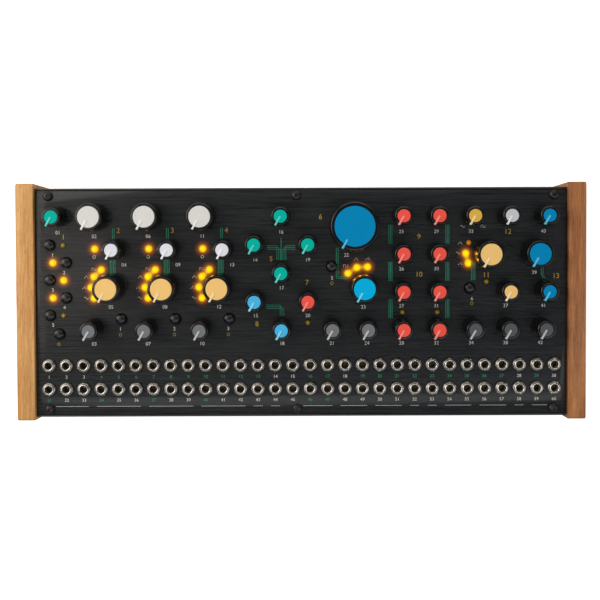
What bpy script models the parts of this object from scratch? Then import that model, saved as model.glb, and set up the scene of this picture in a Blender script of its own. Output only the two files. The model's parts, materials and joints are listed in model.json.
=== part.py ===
"""Desktop semi-modular synthesizer: a sloped control panel in a steel tray between wooden cheeks.

World axes are X to the right, Y to the rear and Z up, in metres, with the origin on the
table under the middle of the two cheeks. Everything on the front panel is placed in panel
axes: u to the right, v up the slope and n out of the panel, from the middle of its front face.
"""
import math
from collections import namedtuple

import bmesh
import bpy
from mathutils import Matrix, Vector

# Clearances
GAP = 0.0003
SHAFT_CLEARANCE = 0.0006

# Front panel: sixty 5.08 mm units wide and three rack units high, tilted towards the player
PANEL_WIDTH = 0.3045
PANEL_HEIGHT = 0.1285
PANEL_THICKNESS = 0.002
PANEL_CORNER_RADIUS = 0.001
PANEL_SLOPE = math.radians(3.5)
CORNER_STEPS = 2

# Patch bay: two rows of 3.5 mm jacks along the lower edge
JACK_COLUMNS = 30
JACK_ROWS = 2
JACK_SIDE_MARGIN = 0.00725
JACK_BOTTOM_MARGIN = 0.01465
JACK_ROW_PITCH = 0.0136
JACK_NUT_RADIUS = 0.0041
JACK_NUT_HEIGHT = 0.0018
JACK_NUT_SIDES = 8
JACK_BORE_RADIUS = 0.0019
JACK_BORE_SIDES = 6
JACK_BORE_DEPTH = 0.0085
JACK_BODY_SPACING = 0.001
JACK_BODY_LENGTH = 0.0105
JACK_BODY_HEIGHT = 0.0097

# Rows of knobs above the patch bay
TOP_ROW_MARGIN = 0.01475
KNOB_TO_JACK = 0.0215

# Knobs: a drafted black body with a rounded shoulder, a flat coloured cap and a pointer rib
KNOB_TOP = 0.015
KNOB_LIFT = 0.0008
SMALL_KNOB_RADIUS = 0.0057
SMALL_CAP_RADIUS = 0.0037
MEDIUM_KNOB_RADIUS = 0.0081
MEDIUM_CAP_RADIUS = 0.0062
LARGE_KNOB_RADIUS = 0.0141
LARGE_CAP_RADIUS = 0.01165
KNOB_DRAFT = 0.0003
SHOULDER_DROP = 0.0016
POINTER_WIDTH = 0.0011
POINTER_LENGTH = 0.0058
POINTER_RISE = 0.0003
POINTER_NOSE = 0.0004
POINTER_REST = math.radians(240)
KNOB_TRAVEL_DEG = 300
SHAFT_RADIUS = 0.003
SHAFT_SIDES = 6

KnobStyle = namedtuple("KnobStyle", "base_radius cap_radius sides")
KNOB_STYLES = {
    "small": KnobStyle(SMALL_KNOB_RADIUS, SMALL_CAP_RADIUS, 10),
    "medium": KnobStyle(MEDIUM_KNOB_RADIUS, MEDIUM_CAP_RADIUS, 12),
    "large": KnobStyle(LARGE_KNOB_RADIUS, LARGE_CAP_RADIUS, 20),
}

# Push buttons: round domed caps over tact switches
BUTTON_RADIUS = 0.0031
BUTTON_HEIGHT = 0.0027
BUTTON_DOME = 0.0014
DOME_STEPS = (35, 65)
BUTTON_TRAVEL = 0.0005
BUTTON_SIDES = 8

# Indicator lamps: 3 mm lenses standing out of the panel
LAMP_RADIUS = 0.0015
LAMP_TOP_RADIUS = 0.0012
LAMP_HEIGHT = 0.0012
LAMP_SIDES = 6
LAMP_ARC_GAP = 0.0034
WIDE_ARC_GAP = 0.0038

# Panel screws, at the usual places of a module's fixing holes
SCREW_SIDE_MARGIN = 0.0075
SCREW_EDGE_MARGIN = 0.003
SCREW_COLUMNS = (0, 28 / 57, 1)
SCREW_HEAD_RADIUS = 0.0028
SCREW_HEAD_HEIGHT = 0.0016
SCREW_SIDES = 8

# Circuit boards behind the panel
BOARD_THICKNESS = 0.0016
BOARD_SIDE_MARGIN = 0.004
BOARD_RAIL_GAP = 0.001
BOARD_SPLIT_GAP = 0.001
POT_WIDTH = 0.0095
POT_LENGTH = 0.011
POT_HEIGHT = 0.0065
SWITCH_WIDTH = 0.006
SWITCH_HEIGHT = 0.0043
SPACER_RADIUS = 0.0025
SPACER_SIDES = 6
HEADER_WIDTH = 0.05
HEADER_LENGTH = 0.005
HEADER_HEIGHT = 0.0085
VOICE_BOARD_INSET = 0.025
VOICE_BOARD_MARGIN = 0.010
CHIP_WIDTH = 0.010
CHIP_LENGTH = 0.006
CHIP_HEIGHT = 0.0018
CHIP_COUNT = 6

# Tray: bent steel sheet with a rail under each long edge of the panel
WALL = 0.001
FRONT_HEIGHT = 0.040
RAIL_WIDTH = 0.008
RAIL_DEPTH = 0.008
FOOT_RADIUS = 0.006
FOOT_BASE_RADIUS = 0.0055
FOOT_HEIGHT = 0.003
FOOT_SIDES = 12
FOOT_INSET = 0.018

# Wooden cheeks
CHEEK_THICKNESS = 0.0102
CHEEK_PROUD = 0.0025
CHEEK_OVERHANG_FRONT = 0.0019
CHEEK_OVERHANG_REAR = 0.0028
CHEEK_CORNER_RADIUS = 0.0015

# Rear sockets on their own upright board
SOCKET_DEPTH = 0.012
SOCKET_LEVEL = 0.0155
SOCKET_RECESS = 0.0002
SOCKET_BOARD_MARGIN = 0.012
POWER_INSET = 0.02425
POWER_RADIUS = 0.0055
POWER_BORE_RADIUS = 0.0033
POWER_DEPTH = 0.0095
DATA_INSET = 0.04625
DATA_WIDTH = 0.012
DATA_HEIGHT = 0.0109
DATA_HOLLOW_WIDTH = 0.0086
DATA_HOLLOW_HEIGHT = 0.0079
DATA_DEPTH = 0.0095
ROUND_INSET = 0.07125
ROUND_RADIUS = 0.0085
ROUND_HOLLOW_RADIUS = 0.0068
ROUND_DEPTH = 0.006
ROUND_SOCKET_SIDES = 12
RIB_SINK = 0.0005

# Where a depth is only there to pass right through or to bite into a neighbour
OVERRUN = 0.002
BITE = 0.0002

# Places on the panel: columns are jack columns from the left, rows are shares of the knob field
Control = namedtuple("Control", "name style colour column row")
Place = namedtuple("Place", "name u v style colour", defaults=(None, None))

CONTROL_COLUMN = 0.58
PATTERN_BUTTONS = ("clock_button", "pattern_button", "hold_button", "octave_up_button", "octave_down_button")
PATTERN_FIRST_ROW = 0.2547
PATTERN_ROW_STEP = 0.1575
PATTERN_BUTTON_OFFSET = 0.47
PATTERN_LAMP_OFFSET = 0.305
OSCILLATORS = 3
OSCILLATOR_COLUMN = 2.66
OSCILLATOR_STEP = 3.095
OSCILLATOR_KNOBS = (
    Control("pitch", "medium", "white", 0, 0),
    Control("modulation", "small", "white", 1.25, 0.291),
    Control("shape", "medium", "peach", 0.93, 0.634),
    Control("shape_cv", "small", "grey", -0.05, 1),
)
SEED_BUTTON = Control("seed", None, None, 1.52, 0.92)
OSCILLATOR_LAMP = Control("lamp", None, None, 0.02, 0.289)
ENVELOPES = 2
ENVELOPE_COLUMN = 20.25
ENVELOPE_STEP = 2.0
ENVELOPE_STAGES = ("attack", "decay", "sustain", "release")
ENVELOPE_LAMP = Control("lamp", None, None, 0.05, 0.866)
SINGLE_KNOBS = (
    Control("glide_knob", "small", "teal", CONTROL_COLUMN, 0),
    Control("channel_1_knob", "small", "teal", 11.87, 0.25),
    Control("channel_2_knob", "small", "teal", 13.36, 0),
    Control("channel_3_knob", "small", "teal", 13.37, 0.5),
    Control("channel_4_knob", "small", "teal", 14.88, 0.25),
    Control("preamp_level_knob", "small", "sky", 11.88, 0.75),
    Control("preamp_gain_knob", "small", "sky", 13.39, 1),
    Control("slow_oscillator_knob", "small", "red", 14.88, 0.75),
    Control("frequency_knob", "large", "blue", 17.52, 0.09),
    Control("resonance_knob", "medium", "sky", 18.06, 0.64),
    Control("frequency_cv_1_knob", "small", "grey", 16.26, 1),
    Control("frequency_cv_2_knob", "small", "grey", 18.26, 1),
    Control("response_knob", "small", "mustard", 24.23, 0),
    Control("dynamics_knob", "medium", "peach", 25.12, 0.339),
    Control("response_cv_knob", "small", "grey", 24.25, 1),
    Control("output_knob", "small", "white", 26.28, 0),
    Control("gate_resonance_knob", "small", "peach", 26.22, 0.667),
    Control("dynamics_cv_knob", "small", "grey", 26.22, 1),
    Control("echo_repeats_knob", "small", "sky", 28.38, 0),
    Control("echo_time_knob", "medium", "sky", 27.86, 0.336),
    Control("echo_mix_knob", "small", "blue", 28.39, 0.667),
    Control("echo_time_cv_knob", "small", "grey", 28.21, 1),
)
SINGLE_BUTTONS = (
    Control("shift_button", None, None, 0.62, 1.053),
    Control("filter_mode_button", None, None, 16.26, 0.456),
    Control("dynamics_mode_button", None, None, 24.16, 0.652),
)
SINGLE_LAMPS = (
    Control("slow_oscillator_lamp", None, None, 14.88, 0.956),
    Control("dynamics_lamp", None, None, 25.12, 0.594),
)
SHAPE_ARC_TURNS = (212.5, 180, 147.5, 118)
RESONANCE_ARC_TURNS = (138, 108, 78)
DYNAMICS_ARC_TURNS = (209, 180, 149)
SPACER_COLUMNS = (1.62, 14.88, 27.3)

COLOURS = {
    "white": (0.78, 0.76, 0.72), "teal": (0.0, 0.42, 0.32), "peach": (1.0, 0.58, 0.19),
    "mustard": (0.71, 0.42, 0.12), "blue": (0.0, 0.25, 0.47), "sky": (0.0, 0.43, 0.72),
    "red": (0.94, 0.09, 0.07), "grey": (0.19, 0.19, 0.20),
}

# Derived places
COS = math.cos(PANEL_SLOPE)
SIN = math.sin(PANEL_SLOPE)
HALF_WIDTH = PANEL_WIDTH / 2
HALF_HEIGHT = PANEL_HEIGHT / 2
POWER_X = HALF_WIDTH - POWER_INSET
DATA_X = HALF_WIDTH - DATA_INSET
ROUND_X = HALF_WIDTH - ROUND_INSET
COLUMN_STEP = (PANEL_WIDTH - 2 * JACK_SIDE_MARGIN) / (JACK_COLUMNS - 1)
JACK_BODY_WIDTH = COLUMN_STEP - JACK_BODY_SPACING
SEAT_DEPTH = PANEL_THICKNESS + GAP
BOARD_TOP = -(SEAT_DEPTH + JACK_BODY_HEIGHT)
FRONT_REACH = HALF_HEIGHT * COS + GAP
REAR_REACH = HALF_HEIGHT * COS + PANEL_THICKNESS * SIN + GAP
PANEL_Y = (FRONT_REACH + CHEEK_OVERHANG_FRONT - REAR_REACH - CHEEK_OVERHANG_REAR) / 2
PANEL_Z = FOOT_HEIGHT + FRONT_HEIGHT + HALF_HEIGHT * SIN
FRONT_INNER = PANEL_Y - FRONT_REACH
REAR_INNER = PANEL_Y + REAR_REACH
RAIL_EDGE = HALF_HEIGHT + GAP - RAIL_WIDTH


def column(steps):
    """Return u at a number of jack columns from the first one."""
    return -HALF_WIDTH + JACK_SIDE_MARGIN + steps * COLUMN_STEP


def jack_row(index):
    """Return v of a row of jacks, counted up from the lower one."""
    return -HALF_HEIGHT + JACK_BOTTOM_MARGIN + index * JACK_ROW_PITCH


def row(share):
    """Return v at a share of the way from the top row of knobs to the bottom row."""
    top = HALF_HEIGHT - TOP_ROW_MARGIN
    bottom = jack_row(JACK_ROWS - 1) + KNOB_TO_JACK
    return top + share * (bottom - top)


def height_at(y, n):
    """Return Z on the plane n above the panel's face, at world Y."""
    return PANEL_Z + ((y - PANEL_Y) * SIN + n) / COS


def side_point(v, n):
    """Return world (Y, Z) of a point in panel axes."""
    return PANEL_Y + v * COS - n * SIN, PANEL_Z + v * SIN + n * COS


def clear_radius(radius, clearance, sides):
    """Return the corner radius of a polygon that holds a round of this radius."""
    return (radius + clearance) / math.cos(math.pi / sides)


# Layout of the controls
def place(control, name, start=0):
    """Return a control's place on the panel, its column counted from a starting one."""
    return Place(name, column(start + control.column), row(control.row), control.style, control.colour)


def oscillator_columns():
    """Return the starting column of each oscillator, by its number."""
    return {index + 1: OSCILLATOR_COLUMN + index * OSCILLATOR_STEP for index in range(OSCILLATORS)}


def knob_layout():
    """Return the place, style and cap colour of every knob."""
    knobs = [place(control, control.name) for control in SINGLE_KNOBS]
    for number, start in oscillator_columns().items():
        knobs += [place(control, f"{control.name}_{number}_knob", start) for control in OSCILLATOR_KNOBS]
    for index in range(ENVELOPES):
        u = column(ENVELOPE_COLUMN + index * ENVELOPE_STEP)
        for stage, name in enumerate(ENVELOPE_STAGES):
            v = row(stage / (len(ENVELOPE_STAGES) - 1))
            knobs.append(Place(f"{name}_{index + 1}_knob", u, v, "small", "red"))
    return knobs


def button_layout():
    """Return the place of every push button."""
    buttons = [place(control, control.name) for control in SINGLE_BUTTONS]
    for index, name in enumerate(PATTERN_BUTTONS):
        side = -1 if index % 2 == 0 else 1
        v = row(PATTERN_FIRST_ROW + index * PATTERN_ROW_STEP)
        buttons.append(Place(name, column(CONTROL_COLUMN + side * PATTERN_BUTTON_OFFSET), v))
    for number, start in oscillator_columns().items():
        buttons.append(place(SEED_BUTTON, f"seed_{number}_button", start))
    return buttons


def jack_centres():
    """Return (u, v) of every jack, row by row."""
    return [(column(index), jack_row(level)) for level in range(JACK_ROWS) for index in range(JACK_COLUMNS)]


def arc_of_lamps(knob, gap, turns):
    """Return lamp places on an arc round a knob, at these turns from its right side."""
    radius = KNOB_STYLES[knob.style].base_radius + gap
    angles = [math.radians(turn) for turn in turns]
    return [(knob.u + radius * math.cos(angle), knob.v + radius * math.sin(angle)) for angle in angles]


def lamp_centres(knobs):
    """Return (u, v) of every indicator lamp."""
    by_name = {knob.name: knob for knob in knobs}
    lamps = [(column(control.column), row(control.row)) for control in SINGLE_LAMPS]
    for index in range(len(PATTERN_BUTTONS)):
        side = 1 if index % 2 == 0 else -1
        v = row(PATTERN_FIRST_ROW + index * PATTERN_ROW_STEP)
        lamps.append((column(CONTROL_COLUMN + side * PATTERN_LAMP_OFFSET), v))
    for number, start in oscillator_columns().items():
        lamps.append((column(start + OSCILLATOR_LAMP.column), row(OSCILLATOR_LAMP.row)))
        lamps += arc_of_lamps(by_name[f"shape_{number}_knob"], LAMP_ARC_GAP, SHAPE_ARC_TURNS)
    lamps += arc_of_lamps(by_name["resonance_knob"], WIDE_ARC_GAP, RESONANCE_ARC_TURNS)
    lamps += arc_of_lamps(by_name["dynamics_knob"], WIDE_ARC_GAP, DYNAMICS_ARC_TURNS)
    for index in range(ENVELOPES):
        start = ENVELOPE_COLUMN + index * ENVELOPE_STEP
        lamps.append((column(start + ENVELOPE_LAMP.column), row(ENVELOPE_LAMP.row)))
    return lamps


def centres(places):
    """Return (u, v) of each of these knobs or buttons."""
    return [(item.u, item.v) for item in places]


def screw_centres():
    """Return (u, v) of the six panel screws."""
    side = HALF_WIDTH - SCREW_SIDE_MARGIN
    edge = HALF_HEIGHT - SCREW_EDGE_MARGIN
    return [(side * (2 * share - 1), v) for share in SCREW_COLUMNS for v in (-edge, edge)]


# Mesh tools
def mesh_from(bm, name):
    """Close a bmesh with its faces pointing out and return it as a mesh."""
    bmesh.ops.recalc_face_normals(bm, faces=bm.faces[:])
    mesh = bpy.data.meshes.new(name)
    bm.to_mesh(mesh)
    bm.free()
    return mesh


def turned(profile, sides, name):
    """Return a solid turned about Z from (radius, height) points that run bottom to top."""
    bm = bmesh.new()
    verts = [bm.verts.new((radius, 0, height)) for radius, height in profile]
    edges = [bm.edges.new(pair) for pair in zip(verts, verts[1:])]
    bmesh.ops.spin(bm, geom=verts + edges, cent=(0, 0, 0), axis=(0, 0, 1), angle=math.tau,
                   steps=sides, use_merge=True)
    bmesh.ops.holes_fill(bm, edges=[edge for edge in bm.edges if edge.is_boundary], sides=sides)
    return mesh_from(bm, name)


def prism(outline, low, high, place, name):
    """Return a solid with a flat outline, drawn out from low to high; place sets its directions."""
    bm = bmesh.new()
    face = bm.faces.new([bm.verts.new(place(a, b, low)) for a, b in outline])
    grown = bmesh.ops.extrude_face_region(bm, geom=[face])
    shift = Vector(place(0, 0, high)) - Vector(place(0, 0, low))
    lifted = [item for item in grown["geom"] if isinstance(item, bmesh.types.BMVert)]
    bmesh.ops.translate(bm, vec=shift, verts=lifted)
    return mesh_from(bm, name)


def along_n(a, b, c):
    """Draw an outline in the panel's plane."""
    return a, b, c


def along_x(a, b, c):
    """Draw a side outline, (Y, Z), out along X."""
    return c, a, b


def along_y(a, b, c):
    """Draw a rear outline, (X, Z), out along Y."""
    return a, c, b


def add_posts(bm, spots, radius, sides, low, high, top_radius=None):
    """Add a round post at each spot, tapered where it has a top radius of its own."""
    top = radius if top_radius is None else top_radius
    for u, v in spots:
        middle = Matrix.Translation((u, v, (low + high) / 2))
        bmesh.ops.create_cone(bm, cap_ends=True, segments=sides, radius1=radius, radius2=top,
                              depth=high - low, matrix=middle)


def add_boxes(bm, spots, width, length, low, high):
    """Add a box of this width along u and length along v at each spot."""
    for u, v in spots:
        middle = Matrix.Translation((u, v, (low + high) / 2))
        bmesh.ops.create_cube(bm, size=1, matrix=middle @ Matrix.Diagonal((width, length, high - low, 1)))


def combined(base, tool, operation):
    """Return the union or the difference of two meshes as one new mesh."""
    body = bpy.data.objects.new("body", base)
    cutter = bpy.data.objects.new("cutter", tool)
    for item in (body, cutter):
        bpy.context.scene.collection.objects.link(item)
    change = body.modifiers.new("combine", "BOOLEAN")
    change.operation = operation
    change.object = cutter
    graph = bpy.context.evaluated_depsgraph_get()
    mesh = bpy.data.meshes.new_from_object(body.evaluated_get(graph))
    mesh.name = base.name
    for item in (body, cutter):
        bpy.data.objects.remove(item)
    return mesh


def rounded(outline, radius, steps):
    """Return a convex outline with each corner turned into an arc."""
    points = []
    count = len(outline)
    for index, corner in enumerate(outline):
        here = Vector(corner)
        before = (Vector(outline[index - 1]) - here).normalized()
        after = (Vector(outline[(index + 1) % count]) - here).normalized()
        half = before.angle(after) / 2
        centre = here + (before + after).normalized() * (radius / math.sin(half))
        start = here + before * (radius / math.tan(half)) - centre
        sweep = start.angle_signed(here + after * (radius / math.tan(half)) - centre)
        for step in range(steps + 1):
            turn = Matrix.Rotation(-sweep * step / steps, 2)
            points.append(tuple(centre + turn @ start))
    return points


def circle(radius):
    """Return a round outline with a flat side down."""
    turns = [math.tau * (index + 0.5) / ROUND_SOCKET_SIDES for index in range(ROUND_SOCKET_SIDES)]
    return [(radius * math.sin(turn), radius * math.cos(turn)) for turn in turns]


def rectangle(width, height):
    """Return a centred rectangular outline."""
    a = width / 2
    b = height / 2
    return [(-a, -b), (a, -b), (a, b), (-a, b)]


def moved(outline, a, b):
    """Return an outline shifted in its own plane."""
    return [(x + a, y + b) for x, y in outline]


# Materials and placing
def material(name, colour, roughness, metallic=0.0):
    """Return a plain Principled material, made on first use."""
    if name in bpy.data.materials:
        return bpy.data.materials[name]
    made = bpy.data.materials.new(name)
    made.use_nodes = True
    shader = made.node_tree.nodes["Principled BSDF"]
    shader.inputs["Base Color"].default_value = (*colour, 1)
    shader.inputs["Roughness"].default_value = roughness
    shader.inputs["Metallic"].default_value = metallic
    return made


def cap_material(colour):
    """Return the satin plastic of one cap colour."""
    return material(f"cap_{colour}", COLOURS[colour], 0.45)


def add_piece(name, mesh, finishes, parent=None):
    """Put a mesh into the scene as a named piece with its materials."""
    mesh.materials.clear()
    for finish in finishes:
        mesh.materials.append(finish)
    piece = bpy.data.objects.new(name, mesh)
    bpy.context.scene.collection.objects.link(piece)
    piece.parent = parent
    return piece


def soften(mesh):
    """Shade a round piece smooth and keep its edges sharp."""
    mesh.shade_smooth()
    mesh.set_sharp_from_angle(angle=math.radians(38))


def panel_frame():
    """Return the empty that carries the panel's axes."""
    frame = bpy.data.objects.new("panel_frame", None)
    bpy.context.scene.collection.objects.link(frame)
    frame.location = (0, PANEL_Y, PANEL_Z)
    frame.rotation_euler = (PANEL_SLOPE, 0, 0)
    return frame


# Front panel
def build_front_panel(frame, knobs, buttons):
    """Build the faceplate with its jack nuts, lamp lenses and screw heads, and all its holes."""
    outline = rounded(rectangle(PANEL_WIDTH, PANEL_HEIGHT), PANEL_CORNER_RADIUS, CORNER_STEPS)
    plate = prism(outline, -PANEL_THICKNESS, 0, along_n, "front_panel")
    raised = bmesh.new()
    add_posts(raised, jack_centres(), JACK_NUT_RADIUS, JACK_NUT_SIDES, -BITE, JACK_NUT_HEIGHT)
    add_posts(raised, lamp_centres(knobs), LAMP_RADIUS, LAMP_SIDES, -BITE, LAMP_HEIGHT, LAMP_TOP_RADIUS)
    add_posts(raised, screw_centres(), SCREW_HEAD_RADIUS, SCREW_SIDES, -BITE, SCREW_HEAD_HEIGHT)
    plate = combined(plate, mesh_from(raised, "raised"), "UNION")
    holes = bmesh.new()
    low = -PANEL_THICKNESS - OVERRUN
    high = JACK_NUT_HEIGHT + OVERRUN
    add_posts(holes, jack_centres(), JACK_BORE_RADIUS, JACK_BORE_SIDES, low, high)
    shaft_hole = clear_radius(SHAFT_RADIUS, SHAFT_CLEARANCE, SHAFT_SIDES)
    add_posts(holes, centres(knobs), shaft_hole, SHAFT_SIDES, low, high)
    button_hole = clear_radius(BUTTON_RADIUS, GAP, BUTTON_SIDES)
    add_posts(holes, centres(buttons), button_hole, BUTTON_SIDES, low, high)
    plate = combined(plate, mesh_from(holes, "holes"), "DIFFERENCE")
    add_piece("front_panel", plate, [material("black_anodised", (0.03, 0.03, 0.032), 0.4, 0.6)], frame)


# Knobs
def knob_mesh(style):
    """Return one knob on its shaft, pointer along +X, with the panel's face at height zero."""
    shoulder = style.base_radius - KNOB_DRAFT
    profile = [
        (style.base_radius, KNOB_LIFT),
        (shoulder, KNOB_TOP - SHOULDER_DROP),
        (style.cap_radius, KNOB_TOP),
    ]
    body = turned(profile, style.sides, "knob")
    tip = shoulder + POINTER_NOSE
    start = tip - POINTER_LENGTH
    rib = [
        (start, KNOB_TOP - RIB_SINK),
        (start, KNOB_TOP + POINTER_RISE),
        (tip, KNOB_TOP + POINTER_RISE),
        (style.base_radius + POINTER_NOSE, KNOB_LIFT + BITE),
        (style.cap_radius, KNOB_LIFT + BITE),
        (style.cap_radius, KNOB_TOP - RIB_SINK),
    ]
    pointer = prism(rib, -POINTER_WIDTH / 2, POINTER_WIDTH / 2, lambda a, b, c: (a, -c, b), "pointer")
    shaft = bmesh.new()
    foot = BOARD_TOP + POT_HEIGHT + GAP
    add_posts(shaft, [(0, 0)], SHAFT_RADIUS, SHAFT_SIDES, foot, KNOB_LIFT + BITE)
    body = combined(body, mesh_from(shaft, "shaft"), "UNION")
    return combined(body, pointer, "UNION")


def paint_cap(mesh, style):
    """Give the cap and the pointer rib the second material."""
    for face in mesh.polygons:
        centre = face.center
        on_cap = centre.z > KNOB_TOP - RIB_SINK and centre.xy.length < style.cap_radius
        on_rib = abs(centre.y) <= POINTER_WIDTH / 2 and centre.x > style.base_radius
        face.material_index = 1 if on_cap or on_rib or centre.z > KNOB_TOP else 0


def build_knobs(frame, knobs):
    """Build every knob, turned to its lowest setting."""
    black = material("black_plastic", (0.018, 0.018, 0.02), 0.3)
    shapes = {key: knob_mesh(style) for key, style in KNOB_STYLES.items()}
    for knob in knobs:
        mesh = shapes[knob.style].copy()
        soften(mesh)
        piece = add_piece(knob.name, mesh, [black, cap_material(knob.colour)], frame)
        paint_cap(mesh, KNOB_STYLES[knob.style])
        piece.location = (knob.u, knob.v, 0)
        piece.rotation_euler = (0, 0, POINTER_REST)


# Push buttons
def build_buttons(frame, buttons):
    """Build every domed button cap, reaching down to just above its switch."""
    edge = BUTTON_HEIGHT - BUTTON_DOME
    profile = [(BUTTON_RADIUS, BOARD_TOP + SWITCH_HEIGHT + BUTTON_TRAVEL + GAP), (BUTTON_RADIUS, edge)]
    for step in DOME_STEPS:
        rise = math.radians(step)
        profile.append((BUTTON_RADIUS * math.cos(rise), edge + BUTTON_DOME * math.sin(rise)))
    shape = turned(profile, BUTTON_SIDES, "button")
    soften(shape)
    gloss = material("black_gloss", (0.012, 0.012, 0.013), 0.18)
    for button in buttons:
        piece = add_piece(button.name, shape.copy(), [gloss], frame)
        piece.location = (button.u, button.v, 0)


# Circuit boards
def board_split():
    """Return v of the line between the control board and the jack board."""
    knob_edge = row(1) - POT_LENGTH / 2
    jack_edge = jack_row(JACK_ROWS - 1) + JACK_BODY_LENGTH / 2
    return (knob_edge + jack_edge) / 2


def board_plate(low_v, high_v, name):
    """Return a full-width circuit board between two heights on the panel."""
    side = HALF_WIDTH - BOARD_SIDE_MARGIN
    outline = [(-side, low_v), (side, low_v), (side, high_v), (-side, high_v)]
    return prism(outline, BOARD_TOP - BOARD_THICKNESS, BOARD_TOP, along_n, name)


def build_control_board(frame, knobs, buttons):
    """Build the board with its potentiometers, switches and spacers, and the voice board behind it."""
    board = board_plate(board_split() + BOARD_SPLIT_GAP / 2, RAIL_EDGE - BOARD_RAIL_GAP, "control_board")
    parts = bmesh.new()
    base = BOARD_TOP - BITE
    add_boxes(parts, centres(knobs), POT_WIDTH, POT_LENGTH, base, BOARD_TOP + POT_HEIGHT)
    add_boxes(parts, centres(buttons), SWITCH_WIDTH, SWITCH_WIDTH, base, BOARD_TOP + SWITCH_HEIGHT)
    spacers = [(column(steps), row(share)) for steps in SPACER_COLUMNS for share in (0, 1)]
    add_posts(parts, spacers, SPACER_RADIUS, SPACER_SIDES, base, -SEAT_DEPTH)
    board = combined(board, mesh_from(parts, "parts"), "UNION")
    back = BOARD_TOP - BOARD_THICKNESS
    voice_top = back - HEADER_HEIGHT
    low = board_split() + VOICE_BOARD_MARGIN
    high = RAIL_EDGE - VOICE_BOARD_MARGIN
    side = HALF_WIDTH - VOICE_BOARD_INSET
    outline = [(-side, low), (side, low), (side, high), (-side, high)]
    voice = prism(outline, voice_top - BOARD_THICKNESS, voice_top, along_n, "voice_board")
    links = bmesh.new()
    headers = [(0, low + HEADER_LENGTH), (0, high - HEADER_LENGTH)]
    add_boxes(links, headers, HEADER_WIDTH, HEADER_LENGTH, voice_top - BITE, back + BITE)
    chip_low = voice_top - BOARD_THICKNESS - CHIP_HEIGHT
    pitch = 2 * side / CHIP_COUNT
    chips = [(-side + (index + 0.5) * pitch, (low + high) / 2) for index in range(CHIP_COUNT)]
    add_boxes(links, chips, CHIP_WIDTH, CHIP_LENGTH, chip_low, voice_top - BOARD_THICKNESS + BITE)
    voice = combined(voice, mesh_from(links, "links"), "UNION")
    board = combined(board, voice, "UNION")
    add_piece("control_board", board, [material("circuit_board", (0.01, 0.07, 0.03), 0.5)], frame)


def build_jack_board(frame):
    """Build the board with its sixty jack bodies, each with its bore open to the panel."""
    low_v = -RAIL_EDGE + BOARD_RAIL_GAP
    board = board_plate(low_v, board_split() - BOARD_SPLIT_GAP / 2, "jack_board")
    bodies = bmesh.new()
    add_boxes(bodies, jack_centres(), JACK_BODY_WIDTH, JACK_BODY_LENGTH, BOARD_TOP - BITE, -SEAT_DEPTH)
    board = combined(board, mesh_from(bodies, "bodies"), "UNION")
    bores = bmesh.new()
    floor = -SEAT_DEPTH - JACK_BORE_DEPTH
    add_posts(bores, jack_centres(), JACK_BORE_RADIUS, JACK_BORE_SIDES, floor, OVERRUN)
    board = combined(board, mesh_from(bores, "bores"), "DIFFERENCE")
    add_piece("jack_board", board, [material("circuit_board", (0.01, 0.07, 0.03), 0.5)], frame)


# Rear sockets
def socket_shapes():
    """Return (x, nose outline, hollow outline, depth) of each rear socket."""
    return [
        (POWER_X, circle(POWER_RADIUS), circle(POWER_BORE_RADIUS), POWER_DEPTH),
        (DATA_X, rectangle(DATA_WIDTH, DATA_HEIGHT),
         rectangle(DATA_HOLLOW_WIDTH, DATA_HOLLOW_HEIGHT), DATA_DEPTH),
        (ROUND_X, circle(ROUND_RADIUS), circle(ROUND_HOLLOW_RADIUS), ROUND_DEPTH),
    ]


def socket_height():
    """Return Z of the rear sockets' middle."""
    return FOOT_HEIGHT + WALL + SOCKET_LEVEL


def build_rear_socket_board():
    """Build the upright board with its power inlet, data socket and round five-pin socket."""
    face = REAR_INNER + WALL - SOCKET_RECESS
    plate_y = REAR_INNER - SOCKET_DEPTH
    front_y = plate_y - BOARD_THICKNESS
    low = FOOT_HEIGHT + WALL + GAP
    high = height_at(front_y, BOARD_TOP - BOARD_THICKNESS) - GAP
    left = ROUND_X - ROUND_RADIUS - SOCKET_BOARD_MARGIN
    right = POWER_X + POWER_RADIUS + SOCKET_BOARD_MARGIN / 2
    outline = [(left, low), (right, low), (right, high), (left, high)]
    board = prism(outline, front_y, plate_y, along_y, "rear_socket_board")
    for x, nose, hollow, depth in socket_shapes():
        nose_solid = prism(moved(nose, x, socket_height()), plate_y - BITE, face, along_y, "nose")
        board = combined(board, nose_solid, "UNION")
        bore = prism(moved(hollow, x, socket_height()), face - depth, face + OVERRUN, along_y, "bore")
        board = combined(board, bore, "DIFFERENCE")
    add_piece("rear_socket_board", board, [material("socket_black", (0.02, 0.02, 0.02), 0.5)])


# Tray and cheeks
def grown(outline, amount):
    """Return a centred outline grown by a clearance on every side."""
    return [(a + math.copysign(amount, a), b + math.copysign(amount, b)) for a, b in outline]


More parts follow.
